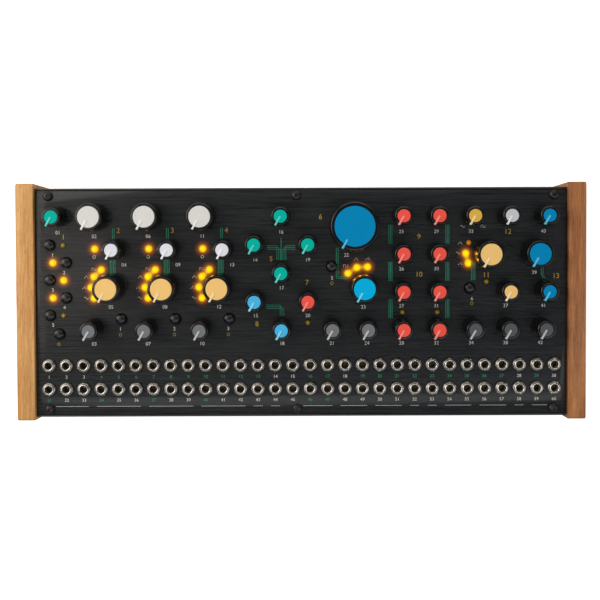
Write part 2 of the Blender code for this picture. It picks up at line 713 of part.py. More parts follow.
def build_tray():
    """Build the sheet-metal tray with its two rails, rear cut-outs and four feet."""
    front = FRONT_INNER - WALL
    rear = REAR_INNER + WALL
    floor = FOOT_HEIGHT + WALL
    shell = [(front, FOOT_HEIGHT), (rear, FOOT_HEIGHT), (rear, height_at(rear, 0)),
             (front, height_at(front, 0))]
    tray = prism(shell, -HALF_WIDTH, HALF_WIDTH, along_x, "tray")
    above = PANEL_Z + PANEL_HEIGHT
    seat = [(FRONT_INNER, height_at(FRONT_INNER, -SEAT_DEPTH)),
            (REAR_INNER, height_at(REAR_INNER, -SEAT_DEPTH)), (REAR_INNER, above), (FRONT_INNER, above)]
    seat_cut = prism(seat, -HALF_WIDTH - OVERRUN, HALF_WIDTH + OVERRUN, along_x, "seat")
    rail_base = -SEAT_DEPTH - RAIL_DEPTH
    cavity = [
        (FRONT_INNER, floor), (REAR_INNER, floor), (REAR_INNER, height_at(REAR_INNER, rail_base)),
        side_point(RAIL_EDGE, rail_base), side_point(RAIL_EDGE, OVERRUN),
        side_point(-RAIL_EDGE, OVERRUN), side_point(-RAIL_EDGE, rail_base),
        (FRONT_INNER, height_at(FRONT_INNER, rail_base)),
    ]
    cavity_cut = prism(cavity, -HALF_WIDTH + WALL, HALF_WIDTH - WALL, along_x, "cavity")
    tray = combined(combined(tray, seat_cut, "DIFFERENCE"), cavity_cut, "DIFFERENCE")
    for x, nose, _hollow, _depth in socket_shapes():
        outline = moved(grown(nose, GAP), x, socket_height())
        opening = prism(outline, REAR_INNER - BITE, rear + OVERRUN, along_y, "opening")
        tray = combined(tray, opening, "DIFFERENCE")
    feet = bmesh.new()
    side = HALF_WIDTH - FOOT_INSET
    near = front + FOOT_INSET
    far = rear - FOOT_INSET
    places = [(x, y) for x in (-side, side) for y in (near, far)]
    add_posts(feet, places, FOOT_BASE_RADIUS, FOOT_SIDES, 0, FOOT_HEIGHT + BITE, FOOT_RADIUS)
    tray = combined(tray, mesh_from(feet, "feet"), "UNION")
    add_piece("case_tray", tray, [material("black_powder_coat", (0.02, 0.02, 0.02), 0.6, 0.2)])


def build_cheeks():
    """Build the two wooden cheeks, standing a little proud of the panel and past the tray."""
    front = FRONT_INNER - WALL - CHEEK_OVERHANG_FRONT
    rear = REAR_INNER + WALL + CHEEK_OVERHANG_REAR
    corners = [(front, FOOT_HEIGHT), (rear, FOOT_HEIGHT), (rear, height_at(rear, CHEEK_PROUD)),
               (front, height_at(front, CHEEK_PROUD))]
    outline = rounded(corners, CHEEK_CORNER_RADIUS, CORNER_STEPS)
    inner = HALF_WIDTH + GAP
    outer = inner + CHEEK_THICKNESS
    wood = material("cherry_wood", (0.55, 0.30, 0.15), 0.5)
    add_piece("left_cheek", prism(outline, -outer, -inner, along_x, "left_cheek"), [wood])
    add_piece("right_cheek", prism(outline, inner, outer, along_x, "right_cheek"), [wood])


def main():
    """Clear the scene and build the whole instrument."""
    for item in list(bpy.data.objects):
        bpy.data.objects.remove(item, do_unlink=True)
    frame = panel_frame()
    knobs = knob_layout()
    buttons = button_layout()
    build_front_panel(frame, knobs, buttons)
    build_knobs(frame, knobs)
    build_buttons(frame, buttons)
    build_control_board(frame, knobs, buttons)
    build_jack_board(frame)
    build_rear_socket_board()
    build_tray()
    build_cheeks()


main()
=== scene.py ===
"""The looks of a desktop semi-modular synthesizer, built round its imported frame.

World axes are X to the right, Y to the rear and Z up, in metres. Panel axes are u to the right,
v up the slope and n out of the panel, from the middle of its front face, in millimetres where a
name ends in _mm and in metres elsewhere.
"""

import json
import logging
import math
from collections.abc import Callable, Iterable, Sequence
from dataclasses import dataclass
from enum import Enum
from typing import ClassVar

import bmesh
import bpy
from mathutils import Matrix, Vector


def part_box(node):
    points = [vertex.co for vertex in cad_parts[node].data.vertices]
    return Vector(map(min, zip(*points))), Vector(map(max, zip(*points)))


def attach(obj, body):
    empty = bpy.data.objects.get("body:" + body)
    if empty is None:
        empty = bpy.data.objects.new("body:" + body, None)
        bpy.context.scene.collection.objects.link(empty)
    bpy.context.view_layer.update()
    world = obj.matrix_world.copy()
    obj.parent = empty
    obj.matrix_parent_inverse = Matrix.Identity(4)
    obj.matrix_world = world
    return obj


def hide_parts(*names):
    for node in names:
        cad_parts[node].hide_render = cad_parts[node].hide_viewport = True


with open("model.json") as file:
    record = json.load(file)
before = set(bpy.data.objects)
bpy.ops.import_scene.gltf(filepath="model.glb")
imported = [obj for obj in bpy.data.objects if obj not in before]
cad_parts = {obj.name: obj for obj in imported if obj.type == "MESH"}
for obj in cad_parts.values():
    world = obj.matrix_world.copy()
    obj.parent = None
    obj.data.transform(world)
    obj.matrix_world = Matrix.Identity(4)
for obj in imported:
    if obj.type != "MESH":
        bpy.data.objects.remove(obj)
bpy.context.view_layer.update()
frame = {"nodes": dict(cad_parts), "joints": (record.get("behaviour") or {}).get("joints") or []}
LOG = logging.getLogger("synthesizer")

Spot = tuple[float, float]
Triple = tuple[float, float, float]
Colour = tuple[float, float, float, float]
Stops = Sequence[tuple[float, Colour]]
Mark = tuple[str, float, float, float]

BLACK: Colour = (0.0, 0.0, 0.0, 1.0)
WHITE: Colour = (1.0, 1.0, 1.0, 1.0)
MM = 0.001
SLOPE = math.radians(3.5)
PANEL_CENTRE = Vector((0.0, -0.000511, 0.046922))
PANEL = Matrix.Translation(PANEL_CENTRE) @ Matrix.Rotation(SLOPE, 4, "X")
PANEL_SIZE_MM = (304.5, 128.5, 2.0)
JACK_ROWS_MM = (-36.0, -49.6)
JACK_NUMBER_ROWS_MM = (-42.7, -56.1)
JACK_COLUMNS = 30
OSCILLATOR_STEP_MM = 30.95
KNOB_TOP_MM = 15.0
BOARD_TOP_MM = -12.0
REST_TURN = math.radians(240)


def linear(red: int, green: int, blue: int) -> Colour:
    """Turn a display colour into the linear one that a shader takes.

    Args:
        red: Red from 0 to 255.
        green: Green from 0 to 255.
        blue: Blue from 0 to 255.

    Returns:
        The linear colour with an alpha of 1.
    """
    def channel(value: int) -> float:
        """Return one channel as linear light."""
        share = value / 255
        return share / 12.92 if share <= 0.04045 else ((share + 0.055) / 1.055) ** 2.4

    return channel(red), channel(green), channel(blue), 1.0


def darker(colour: Colour, share: float) -> Colour:
    """Return a colour dimmed to a share of itself."""
    return colour[0] * share, colour[1] * share, colour[2] * share, 1.0


def column_mm(steps: float) -> float:
    """Return u in millimetres at a number of jack columns from the left one."""
    return -145.0 + 10.0 * steps


def by_oscillator(u_mm: float) -> list[float]:
    """Return u in millimetres of a place beside the first oscillator, for all three."""
    return [u_mm + OSCILLATOR_STEP_MM * index for index in range(3)]


def on_panel(u_mm: float, v_mm: float, n_mm: float = 0.0, turn: float = 0.0) -> Matrix:
    """Return the placing of a piece that was modelled standing at the origin.

    Args:
        u_mm: Distance to the right of the panel's middle.
        v_mm: Distance up the slope from the panel's middle.
        n_mm: Height above the panel's face.
        turn: Turn about the panel's normal, in radians.

    Returns:
        The matrix from the piece's own axes to the world.
    """
    spot = Matrix.Translation((u_mm * MM, v_mm * MM, n_mm * MM))
    return PANEL @ spot @ Matrix.Rotation(turn, 4, "Z")


@dataclass(frozen=True)
class Control:
    """A knob or a button: its node, whether it turns, and its place on the panel."""

    node: str
    turns: bool
    u_mm: float
    v_mm: float


def controls() -> list[Control]:
    """Return every knob and button, in the order of the frame's joints.

    Returns:
        The controls, with their places on the panel.
    """
    found = []
    for joint in frame["joints"]:
        low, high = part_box(joint["child"])
        turns = joint["type"] == "hinge"
        spot = PANEL.inverted() @ (Vector(joint["pos_m"]) if turns else (low + high) / 2)
        found.append(Control(joint["child"], turns, spot.x / MM, spot.y / MM))
    return found


class KnobStyle(Enum):
    """The three sizes of knob: base radius, cap radius and sides."""

    SMALL = (5.7, 3.65, 40)
    MEDIUM = (8.1, 6.05, 56)
    LARGE = (14.1, 11.4, 80)


class CapColour(Enum):
    """The cap colours as they look under even light, with the pointer's lighter tint, except the darker grey
    and the darker white, which carry painted shade for knobs at the dimmer right side.
    """

    WHITE = ((226, 224, 219), (246, 245, 240))
    # White with painted shade: a darker copy of the white cap for the output knob at the dimmer right side.
    SILVER = ((204, 205, 209), (236, 236, 238))
    COOL_WHITE = ((232, 232, 240), (248, 248, 250))
    TEAL = ((0, 184, 166), (96, 216, 198))
    PEACH = ((255, 205, 126), (253, 232, 190))
    MUSTARD = ((228, 182, 76), (250, 228, 170))
    BLUE = ((0, 138, 192), (90, 198, 234))
    SKY = ((0, 182, 234), (120, 216, 242))
    PALE_SKY = ((76, 188, 238), (150, 222, 248))
    RED = ((250, 90, 76), (253, 150, 138))
    GREY = ((120, 122, 125), (196, 198, 198))
    # Grey with painted shade: a darker copy of the grey cap for knobs at the dimmer right side.
    DARK_GREY = ((88, 92, 95), (190, 192, 192))


class LampState(Enum):
    """How bright a lamp shines: emission strength."""

    LIT = 1.15
    DIM = 0.25
    OFF = 0.0


# Node trees
@dataclass(frozen=True)
class Signal:
    """A number inside a node tree, on which Python's operators add Math nodes."""

    tree: bpy.types.NodeTree
    socket: bpy.types.NodeSocket

    def _math(self, operation: str, first: "Signal | float", second: "Signal | float") -> "Signal":
        """Add a Math node and return its result.

        Args:
            operation: The node's operation.
            first: The first number.
            second: The second number.

        Returns:
            The node's result.
        """
        node = self.tree.nodes.new("ShaderNodeMath")
        node.operation = operation
        for slot, value in zip(node.inputs, (first, second)):
            if isinstance(value, Signal):
                self.tree.links.new(value.socket, slot)
            else:
                slot.default_value = value
        return Signal(self.tree, node.outputs[0])

    def __add__(self, other: "Signal | float") -> "Signal":
        """Return this number plus the other one."""
        return self._math("ADD", self, other)

    def __sub__(self, other: "Signal | float") -> "Signal":
        """Return this number less the other one."""
        return self._math("SUBTRACT", self, other)

    def __rsub__(self, other: "Signal | float") -> "Signal":
        """Return the other number less this one."""
        return self._math("SUBTRACT", other, self)

    def __mul__(self, other: "Signal | float") -> "Signal":
        """Return this number times the other one."""
        return self._math("MULTIPLY", self, other)

    def __gt__(self, other: float) -> "Signal":
        """Return 1 where this number is above the other one, else 0."""
        return self._math("GREATER_THAN", self, other)

    def at_least(self, other: float) -> "Signal":
        """Return this number or the other one, whichever is larger."""
        return self._math("MAXIMUM", self, other)

    __radd__ = __add__
    __rmul__ = __mul__


class Recipe:
    """A material under construction, with its Principled shader ready."""

    def __init__(self, name: str) -> None:
        """Start a material of this name with an empty tree but for shader and output.

        Args:
            name: The material's name.
        """
        self.material = bpy.data.materials.new(name)
        self.material.use_nodes = True
        self.tree = self.material.node_tree
        self.shader = self.tree.nodes["Principled BSDF"]

    def add(self, kind: str, settings: dict[str, object] | None = None, *values: object,
            **inputs: object) -> bpy.types.Node:
        """Add a node.

        Args:
            kind: The node's type without its ShaderNode prefix.
            settings: Attributes to set first; "stops" holds a ramp's (place, colour) pairs.
            values: Values or links for the sockets that are in use, in their order.
            inputs: Values or links for sockets, by name with underscores for spaces.

        Returns:
            The new node.
        """
        node = self.tree.nodes.new(f"ShaderNode{kind}")
        for key, value in (settings or {}).items():
            if key == "stops":
                self._set_stops(node.color_ramp.elements, value)
            else:
                setattr(node, key, value)
        for slot, value in zip([item for item in node.inputs if item.enabled], values):
            self._feed(slot, value)
        self._feed_named(node, inputs)
        return node

    @staticmethod
    def _set_stops(elements: bpy.types.bpy_prop_collection, stops: Stops) -> None:
        """Give a ramp its stops.

        Args:
            elements: The ramp's elements.
            stops: (place, colour) of each stop, from 0 to 1.
        """
        while len(elements) < len(stops):
            elements.new(1.0)
        for element, (place, colour) in zip(elements, stops):
            element.position = place
            element.color = colour

    def _feed(self, slot: bpy.types.NodeSocket, value: object) -> None:
        """Give a socket a constant, or link a signal or another node's output to it.

        Args:
            slot: The socket.
            value: The constant, signal or output.
        """
        source = value.socket if isinstance(value, Signal) else value
        if isinstance(source, bpy.types.NodeSocket):
            self.tree.links.new(source, slot)
        else:
            slot.default_value = source

    def _feed_named(self, node: bpy.types.Node, inputs: dict[str, object]) -> None:
        """Feed sockets of a node by their names, with underscores for spaces.

        Args:
            node: The node.
            inputs: Values or links, by socket name.
        """
        for key, value in inputs.items():
            name = key.replace("_", " ")
            self._feed(next(item for item in node.inputs if item.name == name and item.enabled), value)

    def set(self, **inputs: object) -> None:
        """Set or link sockets of the Principled shader, by name with underscores for spaces."""
        self._feed_named(self.shader, inputs)

    def coordinates(self) -> bpy.types.NodeSocket:
        """Return Object coordinates."""
        return self.add("TexCoord").outputs["Object"]

    def place(self, scale: Triple = (1.0, 1.0, 1.0), turn: float = 0.0,
              shift: Triple = (0.0, 0.0, 0.0)) -> bpy.types.NodeSocket:
        """Return Object coordinates, turned about X, moved and then stretched by a scale."""
        moved = self.add("Mapping", Vector=self.coordinates(), Location=shift, Rotation=(turn, 0.0, 0.0))
        return self.add("Mapping", Vector=moved.outputs[0], Scale=scale).outputs[0]

    def noise(self, place: bpy.types.NodeSocket, scale: float = 1.0, detail: float = 3.0) -> Signal:
        """Return a noise from 0 to 1 at these coordinates."""
        node = self.add("TexNoise", Vector=place, Scale=scale, Detail=detail)
        return Signal(self.tree, node.outputs[0])

    def ramp(self, stops: Stops, share: Signal) -> bpy.types.NodeSocket:
        """Return a ramp's colour at a share from 0 to 1."""
        return self.add("ValToRGB", {"stops": stops}, share).outputs[0]

    def steepen(self, share: Signal, low: float, high: float) -> Signal:
        """Return a share stretched so that low gives 0 and high gives 1."""
        return Signal(self.tree, self.ramp(((low, BLACK), (high, WHITE)), share))

    def blend(self, share: Signal, first: object, second: object) -> bpy.types.NodeSocket:
        """Return a colour between two, by a share from 0 to 1."""
        return self.add("Mix", {"data_type": "RGBA"}, share, first, second).outputs[2]

    def measure(self, operation: str, place: bpy.types.NodeSocket, other: Sequence[float]) -> Signal:
        """Return the number that a vector operation gives for a place and a constant."""
        node = self.add("VectorMath", {"operation": operation}, place, other)
        return Signal(self.tree, node.outputs["Value"])

    def position(self, axis: Sequence[float]) -> Signal:
        """Return how far a point lies along an axis, in metres from the object's origin."""
        return self.measure("DOT_PRODUCT", self.coordinates(), axis)

    def bump(self, height: Signal, strength: float, distance: float) -> None:
        """Feed the shader's normal from a height."""
        self.set(Normal=self.add("Bump", Height=height, Strength=strength, Distance=distance).outputs[0])


class Finish:
    """A look that builds its material once."""

    name: str

    def material(self) -> bpy.types.Material:
        """Return this finish's material, made on first use."""
        name = f"{self.name}_look"
        return bpy.data.materials.get(name) or self.build(Recipe(name))

    def build(self, recipe: Recipe) -> bpy.types.Material:
        """Fill a new material's tree and return the material."""
        raise NotImplementedError


# Finishes
@dataclass(frozen=True)
class MouldedPlastic(Finish):
    """Satin plastic with a fine moulded grain and a faint mottle."""

    name: str
    colour: Colour
    roughness: float = 0.4
    mottle: float = 0.06
    grain: float = 0.08
    gloss: float = 0.5

    def build(self, recipe: Recipe) -> bpy.types.Material:
        """Mix two close shades by a fine noise and roughen the surface with another.

        Args:
            recipe: The material under construction.

        Returns:
            The finished material.
        """
        spot = recipe.place()
        speckle = recipe.noise(spot, scale=2600.0)
        cloud = recipe.noise(spot, scale=420.0)
        share = speckle * 0.6 + cloud * 0.4
        low = darker(self.colour, 1 - self.mottle)
        high = tuple(min(1.0, value * (1 + self.mottle)) for value in self.colour[:3]) + (1.0,)
        recipe.set(Base_Color=recipe.blend(share, low, high), Specular_IOR_Level=self.gloss)
        recipe.set(Roughness=cloud * 0.08 + (self.roughness - 0.04))
        recipe.bump(speckle, strength=self.grain, distance=0.0001)
        return recipe.material


@dataclass(frozen=True)
class AnodisedFace(Finish):
    """Black anodised aluminium, brushed from side to side, with the lit lamps' spill painted on it as a glow.
    """

    lamps: tuple[Triple, ...]
    name: str = "anodised_black"
    reach: float = 0.0056
    low: Colour = (0.0004, 0.0010, 0.0016, 1)
    high: Colour = (0.0130, 0.0148, 0.0162, 1)
    # Painted light: the colours of the glow painted round each lit lamp, from none to full orange.
    halo: Stops = (
        (0.0, BLACK), (0.03, (0.02, 0.004, 0.0, 1)), (0.08, (0.05, 0.010, 0.0, 1)),
        (0.14, (0.10, 0.020, 0.0, 1)), (0.22, (0.17, 0.038, 0.0, 1)), (0.33, (0.32, 0.095, 0.0, 1)),
        (0.46, (0.80, 0.40, 0.0, 1)), (0.53, (1.0, 0.68, 0.0, 1)))

    def nearness(self, recipe: Recipe, place: bpy.types.NodeSocket, lamp: Triple) -> Signal:
        """Return 1 under a lamp, falling to 0 at the end of its reach."""
        near = (1.0 - recipe.measure("DISTANCE", place, lamp) * (1 / self.reach)).at_least(0.0)
        return near * near

    def spill(self, recipe: Recipe) -> Signal:
        """Return how strongly the painted glow of the lit lamps shows at a point of the face.

        Args:
            recipe: The material under construction.

        Returns:
            The sum over the lamps.
        """
        place = recipe.coordinates()
        total, *others = [self.nearness(recipe, place, lamp) for lamp in self.lamps]
        for near in others:
            total = total + near
        return total

    def build(self, recipe: Recipe) -> bpy.types.Material:
        """Streak the colour, the roughness and the surface along X.

        Args:
            recipe: The material under construction.

        Returns:
            The finished material.
        """
        fine = recipe.noise(recipe.place((42.0, 1800.0, 1800.0), -SLOPE), detail=3.0)
        broad = recipe.noise(recipe.place((9.0, 760.0, 760.0), -SLOPE), detail=2.0)
        share = recipe.steepen(fine * 0.7 + broad * 0.3, 0.38, 0.62)
        recipe.set(Base_Color=recipe.blend(share, self.low, self.high), Roughness=share * 0.16 + 0.28)
        recipe.set(Metallic=0.0, Specular_IOR_Level=0.26, Coat_Weight=0.22, Coat_Roughness=0.12)
        # Painted light: the face itself glows orange round each lit lamp, in place of the lamps' light
        # falling on it.
        recipe.set(Emission_Color=recipe.ramp(self.halo, self.spill(recipe)), Emission_Strength=1.0)
        recipe.bump(share, strength=0.8, distance=0.0002)
        return recipe.material


@dataclass(frozen=True)
class PowderCoat(Finish):
    """Black powder coat with its fine orange-peel surface."""

    name: str = "powder_black"

    def build(self, recipe: Recipe) -> bpy.types.Material:
        """Bump the surface with two sizes of noise.

        Args:
            recipe: The material under construction.

        Returns:
            The finished material.
        """
        spot = recipe.place()
        grain = recipe.noise(spot, scale=1500.0) * 0.7 + recipe.noise(spot, scale=420.0) * 0.3
        recipe.set(Base_Color=recipe.blend(grain, (0.014, 0.013, 0.012, 1), (0.036, 0.033, 0.030, 1)))
        recipe.set(Roughness=grain * 0.2 + 0.42)
        recipe.bump(grain, strength=0.3, distance=0.0002)
        return recipe.material


@dataclass(frozen=True)
class CherryWood(Finish):
    """Oiled cherry with grain that runs from front to rear."""

    name: str
    light: Colour
    dark: Colour
    shift: float

    def grain(self, recipe: Recipe, across: float, along: float, detail: float) -> Signal:
        """Return noise that is stretched along Y."""
        place = recipe.place((across, along, across), shift=(self.shift, 0.0, self.shift))
        return recipe.noise(place, detail=detail)

    def build(self, recipe: Recipe) -> bpy.types.Material:
        """Lay broad bands, fine lines and short pores along Y.

        Args:
            recipe: The material under construction.

        Returns:
            The finished material.
        """
        bands = self.grain(recipe, across=260.0, along=9.0, detail=6.0)
        lines = self.grain(recipe, across=1500.0, along=22.0, detail=4.0)
        pore = (self.grain(recipe, across=3600.0, along=260.0, detail=2.0) > 0.6) * 0.3
        share = recipe.steepen(bands, 0.35, 0.65) * 0.6 + recipe.steepen(lines, 0.35, 0.65) * 0.4
        wood = recipe.blend(share, self.dark, self.light)
        recipe.set(Base_Color=recipe.blend(pore, wood, darker(self.dark, 0.5)))
        recipe.set(Roughness=0.5 + share * -0.1, Specular_IOR_Level=0.4)
        recipe.bump(lines * 0.6 + share * 0.2 - pore, strength=0.25, distance=0.0002)
        return recipe.material


@dataclass(frozen=True)
class Metal(Finish):
    """Plated or blackened metal with fine turning marks."""

    name: str
    colour: Colour
    roughness: float
    metallic: float = 1.0

    def build(self, recipe: Recipe) -> bpy.types.Material:
        """Vary the colour and roughness a little, and roughen the surface finely.

        Args:
            recipe: The material under construction.

        Returns:
            The finished material.
        """
        spot = recipe.place()
        wear = recipe.noise(spot, scale=900.0)
        recipe.set(Base_Color=recipe.blend(wear, darker(self.colour, 0.82), self.colour))
        recipe.set(Metallic=self.metallic, Roughness=wear * 0.12 + self.roughness)
        recipe.bump(recipe.noise(spot, scale=4200.0), strength=0.12, distance=0.0001)
        return recipe.material


@dataclass(frozen=True)
class PanelInk(Finish):
    """Screen-printed ink with slightly uneven cover."""

    name: str
    colour: Colour

    def build(self, recipe: Recipe) -> bpy.types.Material:
        """Let the cover thin out a little here and there.

        Args:
            recipe: The material under construction.

        Returns:
            The finished material.
        """
        cover = recipe.noise(recipe.place(), scale=1800.0)
        recipe.set(Base_Color=recipe.blend(cover, darker(self.colour, 0.78), self.colour))
        recipe.set(Roughness=cover * 0.1 + 0.5)
        return recipe.material


@dataclass(frozen=True)
class LampLens(Finish):
    """A diffused yellow lens, glowing from its middle when lit."""

    name: str
    state: LampState

    bodies: ClassVar[dict[LampState, Stops]] = {
        LampState.LIT: ((0.0, linear(120, 86, 0)), (1.0, linear(120, 70, 0))),
        LampState.DIM: ((0.0, linear(200, 160, 40)), (1.0, linear(140, 80, 10))),
        LampState.OFF: ((0.0, linear(205, 190, 95)), (0.45, linear(140, 118, 22)),
                        (1.0, linear(104, 80, 14))),
    }
    glows: ClassVar[dict[LampState, Stops]] = {
        LampState.LIT: ((0.0, (1.0, 0.74, 0.0, 1)), (0.55, (1.0, 0.68, 0.0, 1)), (0.85, (1.0, 0.56, 0.0, 1)),
                        (1.0, (0.9, 0.40, 0.0, 1))),
        LampState.DIM: ((0.0, (1.0, 0.30, 0.0, 1)), (1.0, (0.35, 0.06, 0.0, 1))),
    }

    def build(self, recipe: Recipe) -> bpy.types.Material:
        """Colour the lens by its distance from the middle, kept in the mesh as rim.

        Args:
            recipe: The material under construction.

        Returns:
            The finished material.
        """
        rim = Signal(recipe.tree, recipe.add("Attribute", {"attribute_name": "rim"}).outputs["Fac"])
        frost = recipe.noise(recipe.place(), scale=2400.0)
        share = rim * 0.85 + frost * 0.15
        recipe.set(Base_Color=recipe.ramp(self.bodies[self.state], share), Roughness=frost * 0.1 + 0.3)
        recipe.set(Emission_Strength=self.state.value, Specular_IOR_Level=0.15)
        if self.state in self.glows:
            recipe.set(Emission_Color=recipe.ramp(self.glows[self.state], share))
        return recipe.material


@dataclass(frozen=True)
class JackThroat(Finish):
    """The inside of a jack: a dark sleeve with pale brass springs at its bottom."""

    name: str = "jack_throat"
    level_mm: float = -3.6
    sleeve: Colour = (0.115, 0.092, 0.066, 1)

    def build(self, recipe: Recipe) -> bpy.types.Material:
        """Change from sleeve to brass below a level under the panel.

        Args:
            recipe: The material under construction.

        Returns:
            The finished material.
        """
        down = PANEL.to_3x3() @ Vector((0, 0, -1))
        brass = recipe.position(down) > PANEL.translation.dot(down) - self.level_mm * MM
        mottle = recipe.noise(recipe.place(), scale=900.0)
        pale = recipe.blend(mottle, (0.30, 0.20, 0.10, 1), (0.62, 0.46, 0.26, 1))
        recipe.set(Base_Color=recipe.blend(brass, self.sleeve, pale), Roughness=mottle * 0.1 + 0.5)
        return recipe.material


@dataclass(frozen=True)
class BoardMask(Finish):
    """A circuit board with what stands on it: green mask below a level, metal and black above."""

    name: str
    axis: Triple
    level: float
    parts: Colour
    mask: Colour = (0.006, 0.075, 0.03, 1.0)

    def build(self, recipe: Recipe) -> bpy.types.Material:
        """Change from board to parts along an axis, with faint copper tracks in the mask.

        Args:
            recipe: The material under construction.

        Returns:
            The finished material.
        """
        above = recipe.position(self.axis) > self.level
        tracks = recipe.noise(recipe.place((60.0, 420.0, 60.0)), detail=2.0) > 0.56
        green = recipe.blend(tracks * 0.6, self.mask, darker(self.mask, 1.9))
        recipe.set(Base_Color=recipe.blend(above, green, self.parts), Roughness=above * 0.12 + 0.34)
        recipe.bump(tracks, strength=0.2, distance=0.00003)
        return recipe.material


@dataclass(frozen=True)
class StudioWhite(Finish):
    """The pale sweep that the object stands on."""

    name: str = "studio_white"
    glow: float = 0.72

    def build(self, recipe: Recipe) -> bpy.types.Material:
        """Lift the floor towards white for the camera alone, and keep its shadows.

        Args:
            recipe: The material under construction.

        Returns:
            The finished material.
        """
        paper = recipe.noise(recipe.place(), scale=30.0)
        recipe.set(Base_Color=recipe.blend(paper, (0.80, 0.80, 0.795, 1), (0.82, 0.82, 0.815, 1)))
        recipe.set(Roughness=0.9, Specular_IOR_Level=0.1)
        lift = recipe.add("Emission", Color=(1.0, 0.995, 0.985, 1), Strength=self.glow)
        dark = recipe.add("Emission", Color=BLACK, Strength=0.0)
        ray = recipe.add("LightPath").outputs["Is Camera Ray"]
        mix = recipe.add("MixShader", None, ray, dark.outputs[0], lift.outputs[0])
        total = recipe.add("AddShader", None, recipe.shader.outputs[0], mix.outputs[0])
        recipe.tree.links.new(total.outputs[0], recipe.tree.nodes["Material Output"].inputs[0])
        return recipe.material


# Modelling moves
class Bench:
    """Modelling moves with Blender's own operators, each leaving one plain object behind."""

    @staticmethod
    def pick(*pieces: bpy.types.Object) -> None:
        """Select only these pieces and make the first one active."""
        bpy.ops.object.select_all(action="DESELECT")
        for piece in pieces:
            piece.select_set(True)
        bpy.context.view_layer.objects.active = pieces[0]

    @staticmethod
    def fresh(operator: Callable[..., set[str]], **options: object) -> bpy.types.Object:
        """Run an operator that adds an object, with nothing else selected, and return the object.

        Args:
            operator: The operator.
            options: Its options.

        Returns:
            The new object.
        """
        bpy.ops.object.select_all(action="DESELECT")
        operator(**options)
        return bpy.context.active_object

    @staticmethod
    def hang(name: str, data: bpy.types.ID) -> bpy.types.Object:
        """Put a new object with this data into the scene.

        Args:
            name: The object's name.
            data: A mesh, curve, light or camera.

        Returns:
            The new object.
        """
        holder = bpy.data.objects.new(name, data)
        bpy.context.scene.collection.objects.link(holder)
        return holder

    @staticmethod
    def discard(*pieces: bpy.types.Object) -> None:
        """Remove pieces that have served their purpose."""
        for piece in pieces:
            bpy.data.objects.remove(piece)

    @staticmethod
    def settle(piece: bpy.types.Object, name: str) -> bpy.types.Object:
        """Put a piece's place into its mesh and name it.

        Args:
            piece: The piece.
            name: Its new name.

        Returns:
            The same piece.
        """
        piece.data.transform(piece.matrix_world)
        piece.matrix_world = Matrix.Identity(4)
        piece.name = name
        piece.data.name = name
        return piece

    @staticmethod
    def leave_edit() -> None:
        """Turn every face outwards and leave edit mode."""
        bpy.ops.mesh.select_all(action="SELECT")
        bpy.ops.mesh.normals_make_consistent(inside=False)
        bpy.ops.object.mode_set(mode="OBJECT")

    @classmethod
    def smooth(cls, piece: bpy.types.Object, degrees: float = 35.0) -> bpy.types.Object:
        """Shade a piece smooth except at its edges, and return it.

        Args:
            piece: The piece.
            degrees: The least turn between faces that stays sharp.

        Returns:
            The same piece.
        """
        cls.pick(piece)
        bpy.ops.object.shade_smooth_by_angle(angle=math.radians(degrees))
        return piece

    @classmethod
    def turned(cls, name: str, profile: Sequence[Spot], sides: int, ring: bool = False) -> bpy.types.Object:
        """Turn a piece by growing a circle through the points of a profile.

        Args:
            name: The new object's name.
            profile: (radius, height) points in millimetres, bottom first.
            sides: Sides of the circle.
            ring: Whether the profile closes on itself round an open middle.

        Returns:
            The new object, standing at the origin.
        """
        radius, height = profile[0]
        piece = cls.fresh(bpy.ops.mesh.primitive_circle_add, vertices=sides, radius=radius * MM,
                          location=(0, 0, height * MM), fill_type="NOTHING" if ring else "NGON")
        bpy.ops.object.mode_set(mode="EDIT")
        bpy.ops.mesh.select_all(action="SELECT")
        points = list(profile[1:]) + ([profile[0]] if ring else [])
        for next_radius, next_height in points:
            rise = (next_height - height) * MM
            bpy.ops.mesh.extrude_region_move(TRANSFORM_OT_translate={"value": (0, 0, rise)})
            share = next_radius / radius
            bpy.ops.transform.resize(value=(share, share, 1), center_override=(0, 0, next_height * MM))
            radius, height = next_radius, next_height
        bpy.ops.mesh.select_all(action="SELECT")
        bpy.ops.mesh.remove_doubles(threshold=0.000001)
        cls.leave_edit()
        return cls.settle(piece, name)

    @classmethod
    def block(cls, name: str, centre: Sequence[float], size: Sequence[float],
              bevel: float = 0.0) -> bpy.types.Object:
        """Make a block with softened edges.

        Args:
            name: The new object's name.
            centre: Its middle, in metres.
            size: Its sides, in metres.
            bevel: The width of its edges' bevel, in metres.

        Returns:
            The new object.
        """
        block = cls.fresh(bpy.ops.mesh.primitive_cube_add, size=1, location=centre, scale=size)
        piece = cls.settle(block, name)
        if bevel:
            cls.soften(piece, bevel)
        return piece

    @classmethod
    def soften(cls, piece: bpy.types.Object, width: float, segments: int = 2, degrees: float = 40.0) -> None:
        """Bevel a piece's sharp edges and shade it.

        Args:
            piece: The piece.
            width: The bevel's width, in metres.
            segments: Faces across the bevel.
            degrees: The least turn between faces that is bevelled.
        """
        cls.pick(piece)
        edge = piece.modifiers.new("edge", "BEVEL")
        edge.width = width
        edge.segments = segments
        edge.limit_method = "ANGLE"
        edge.angle_limit = math.radians(degrees)
        bpy.ops.object.modifier_apply(modifier=edge.name)
        cls.smooth(piece, 38.0)

    @classmethod
    def carve(cls, piece: bpy.types.Object, cutter: bpy.types.Object) -> None:
        """Cut one piece out of another and discard the cutter.

        Args:
            piece: The piece that is cut.
            cutter: The piece that cuts.
        """
        cls.pick(piece)
        cut = piece.modifiers.new("cut", "BOOLEAN")
        cut.operation = "DIFFERENCE"
        cut.object = cutter
        bpy.ops.object.modifier_apply(modifier=cut.name)
        cls.discard(cutter)

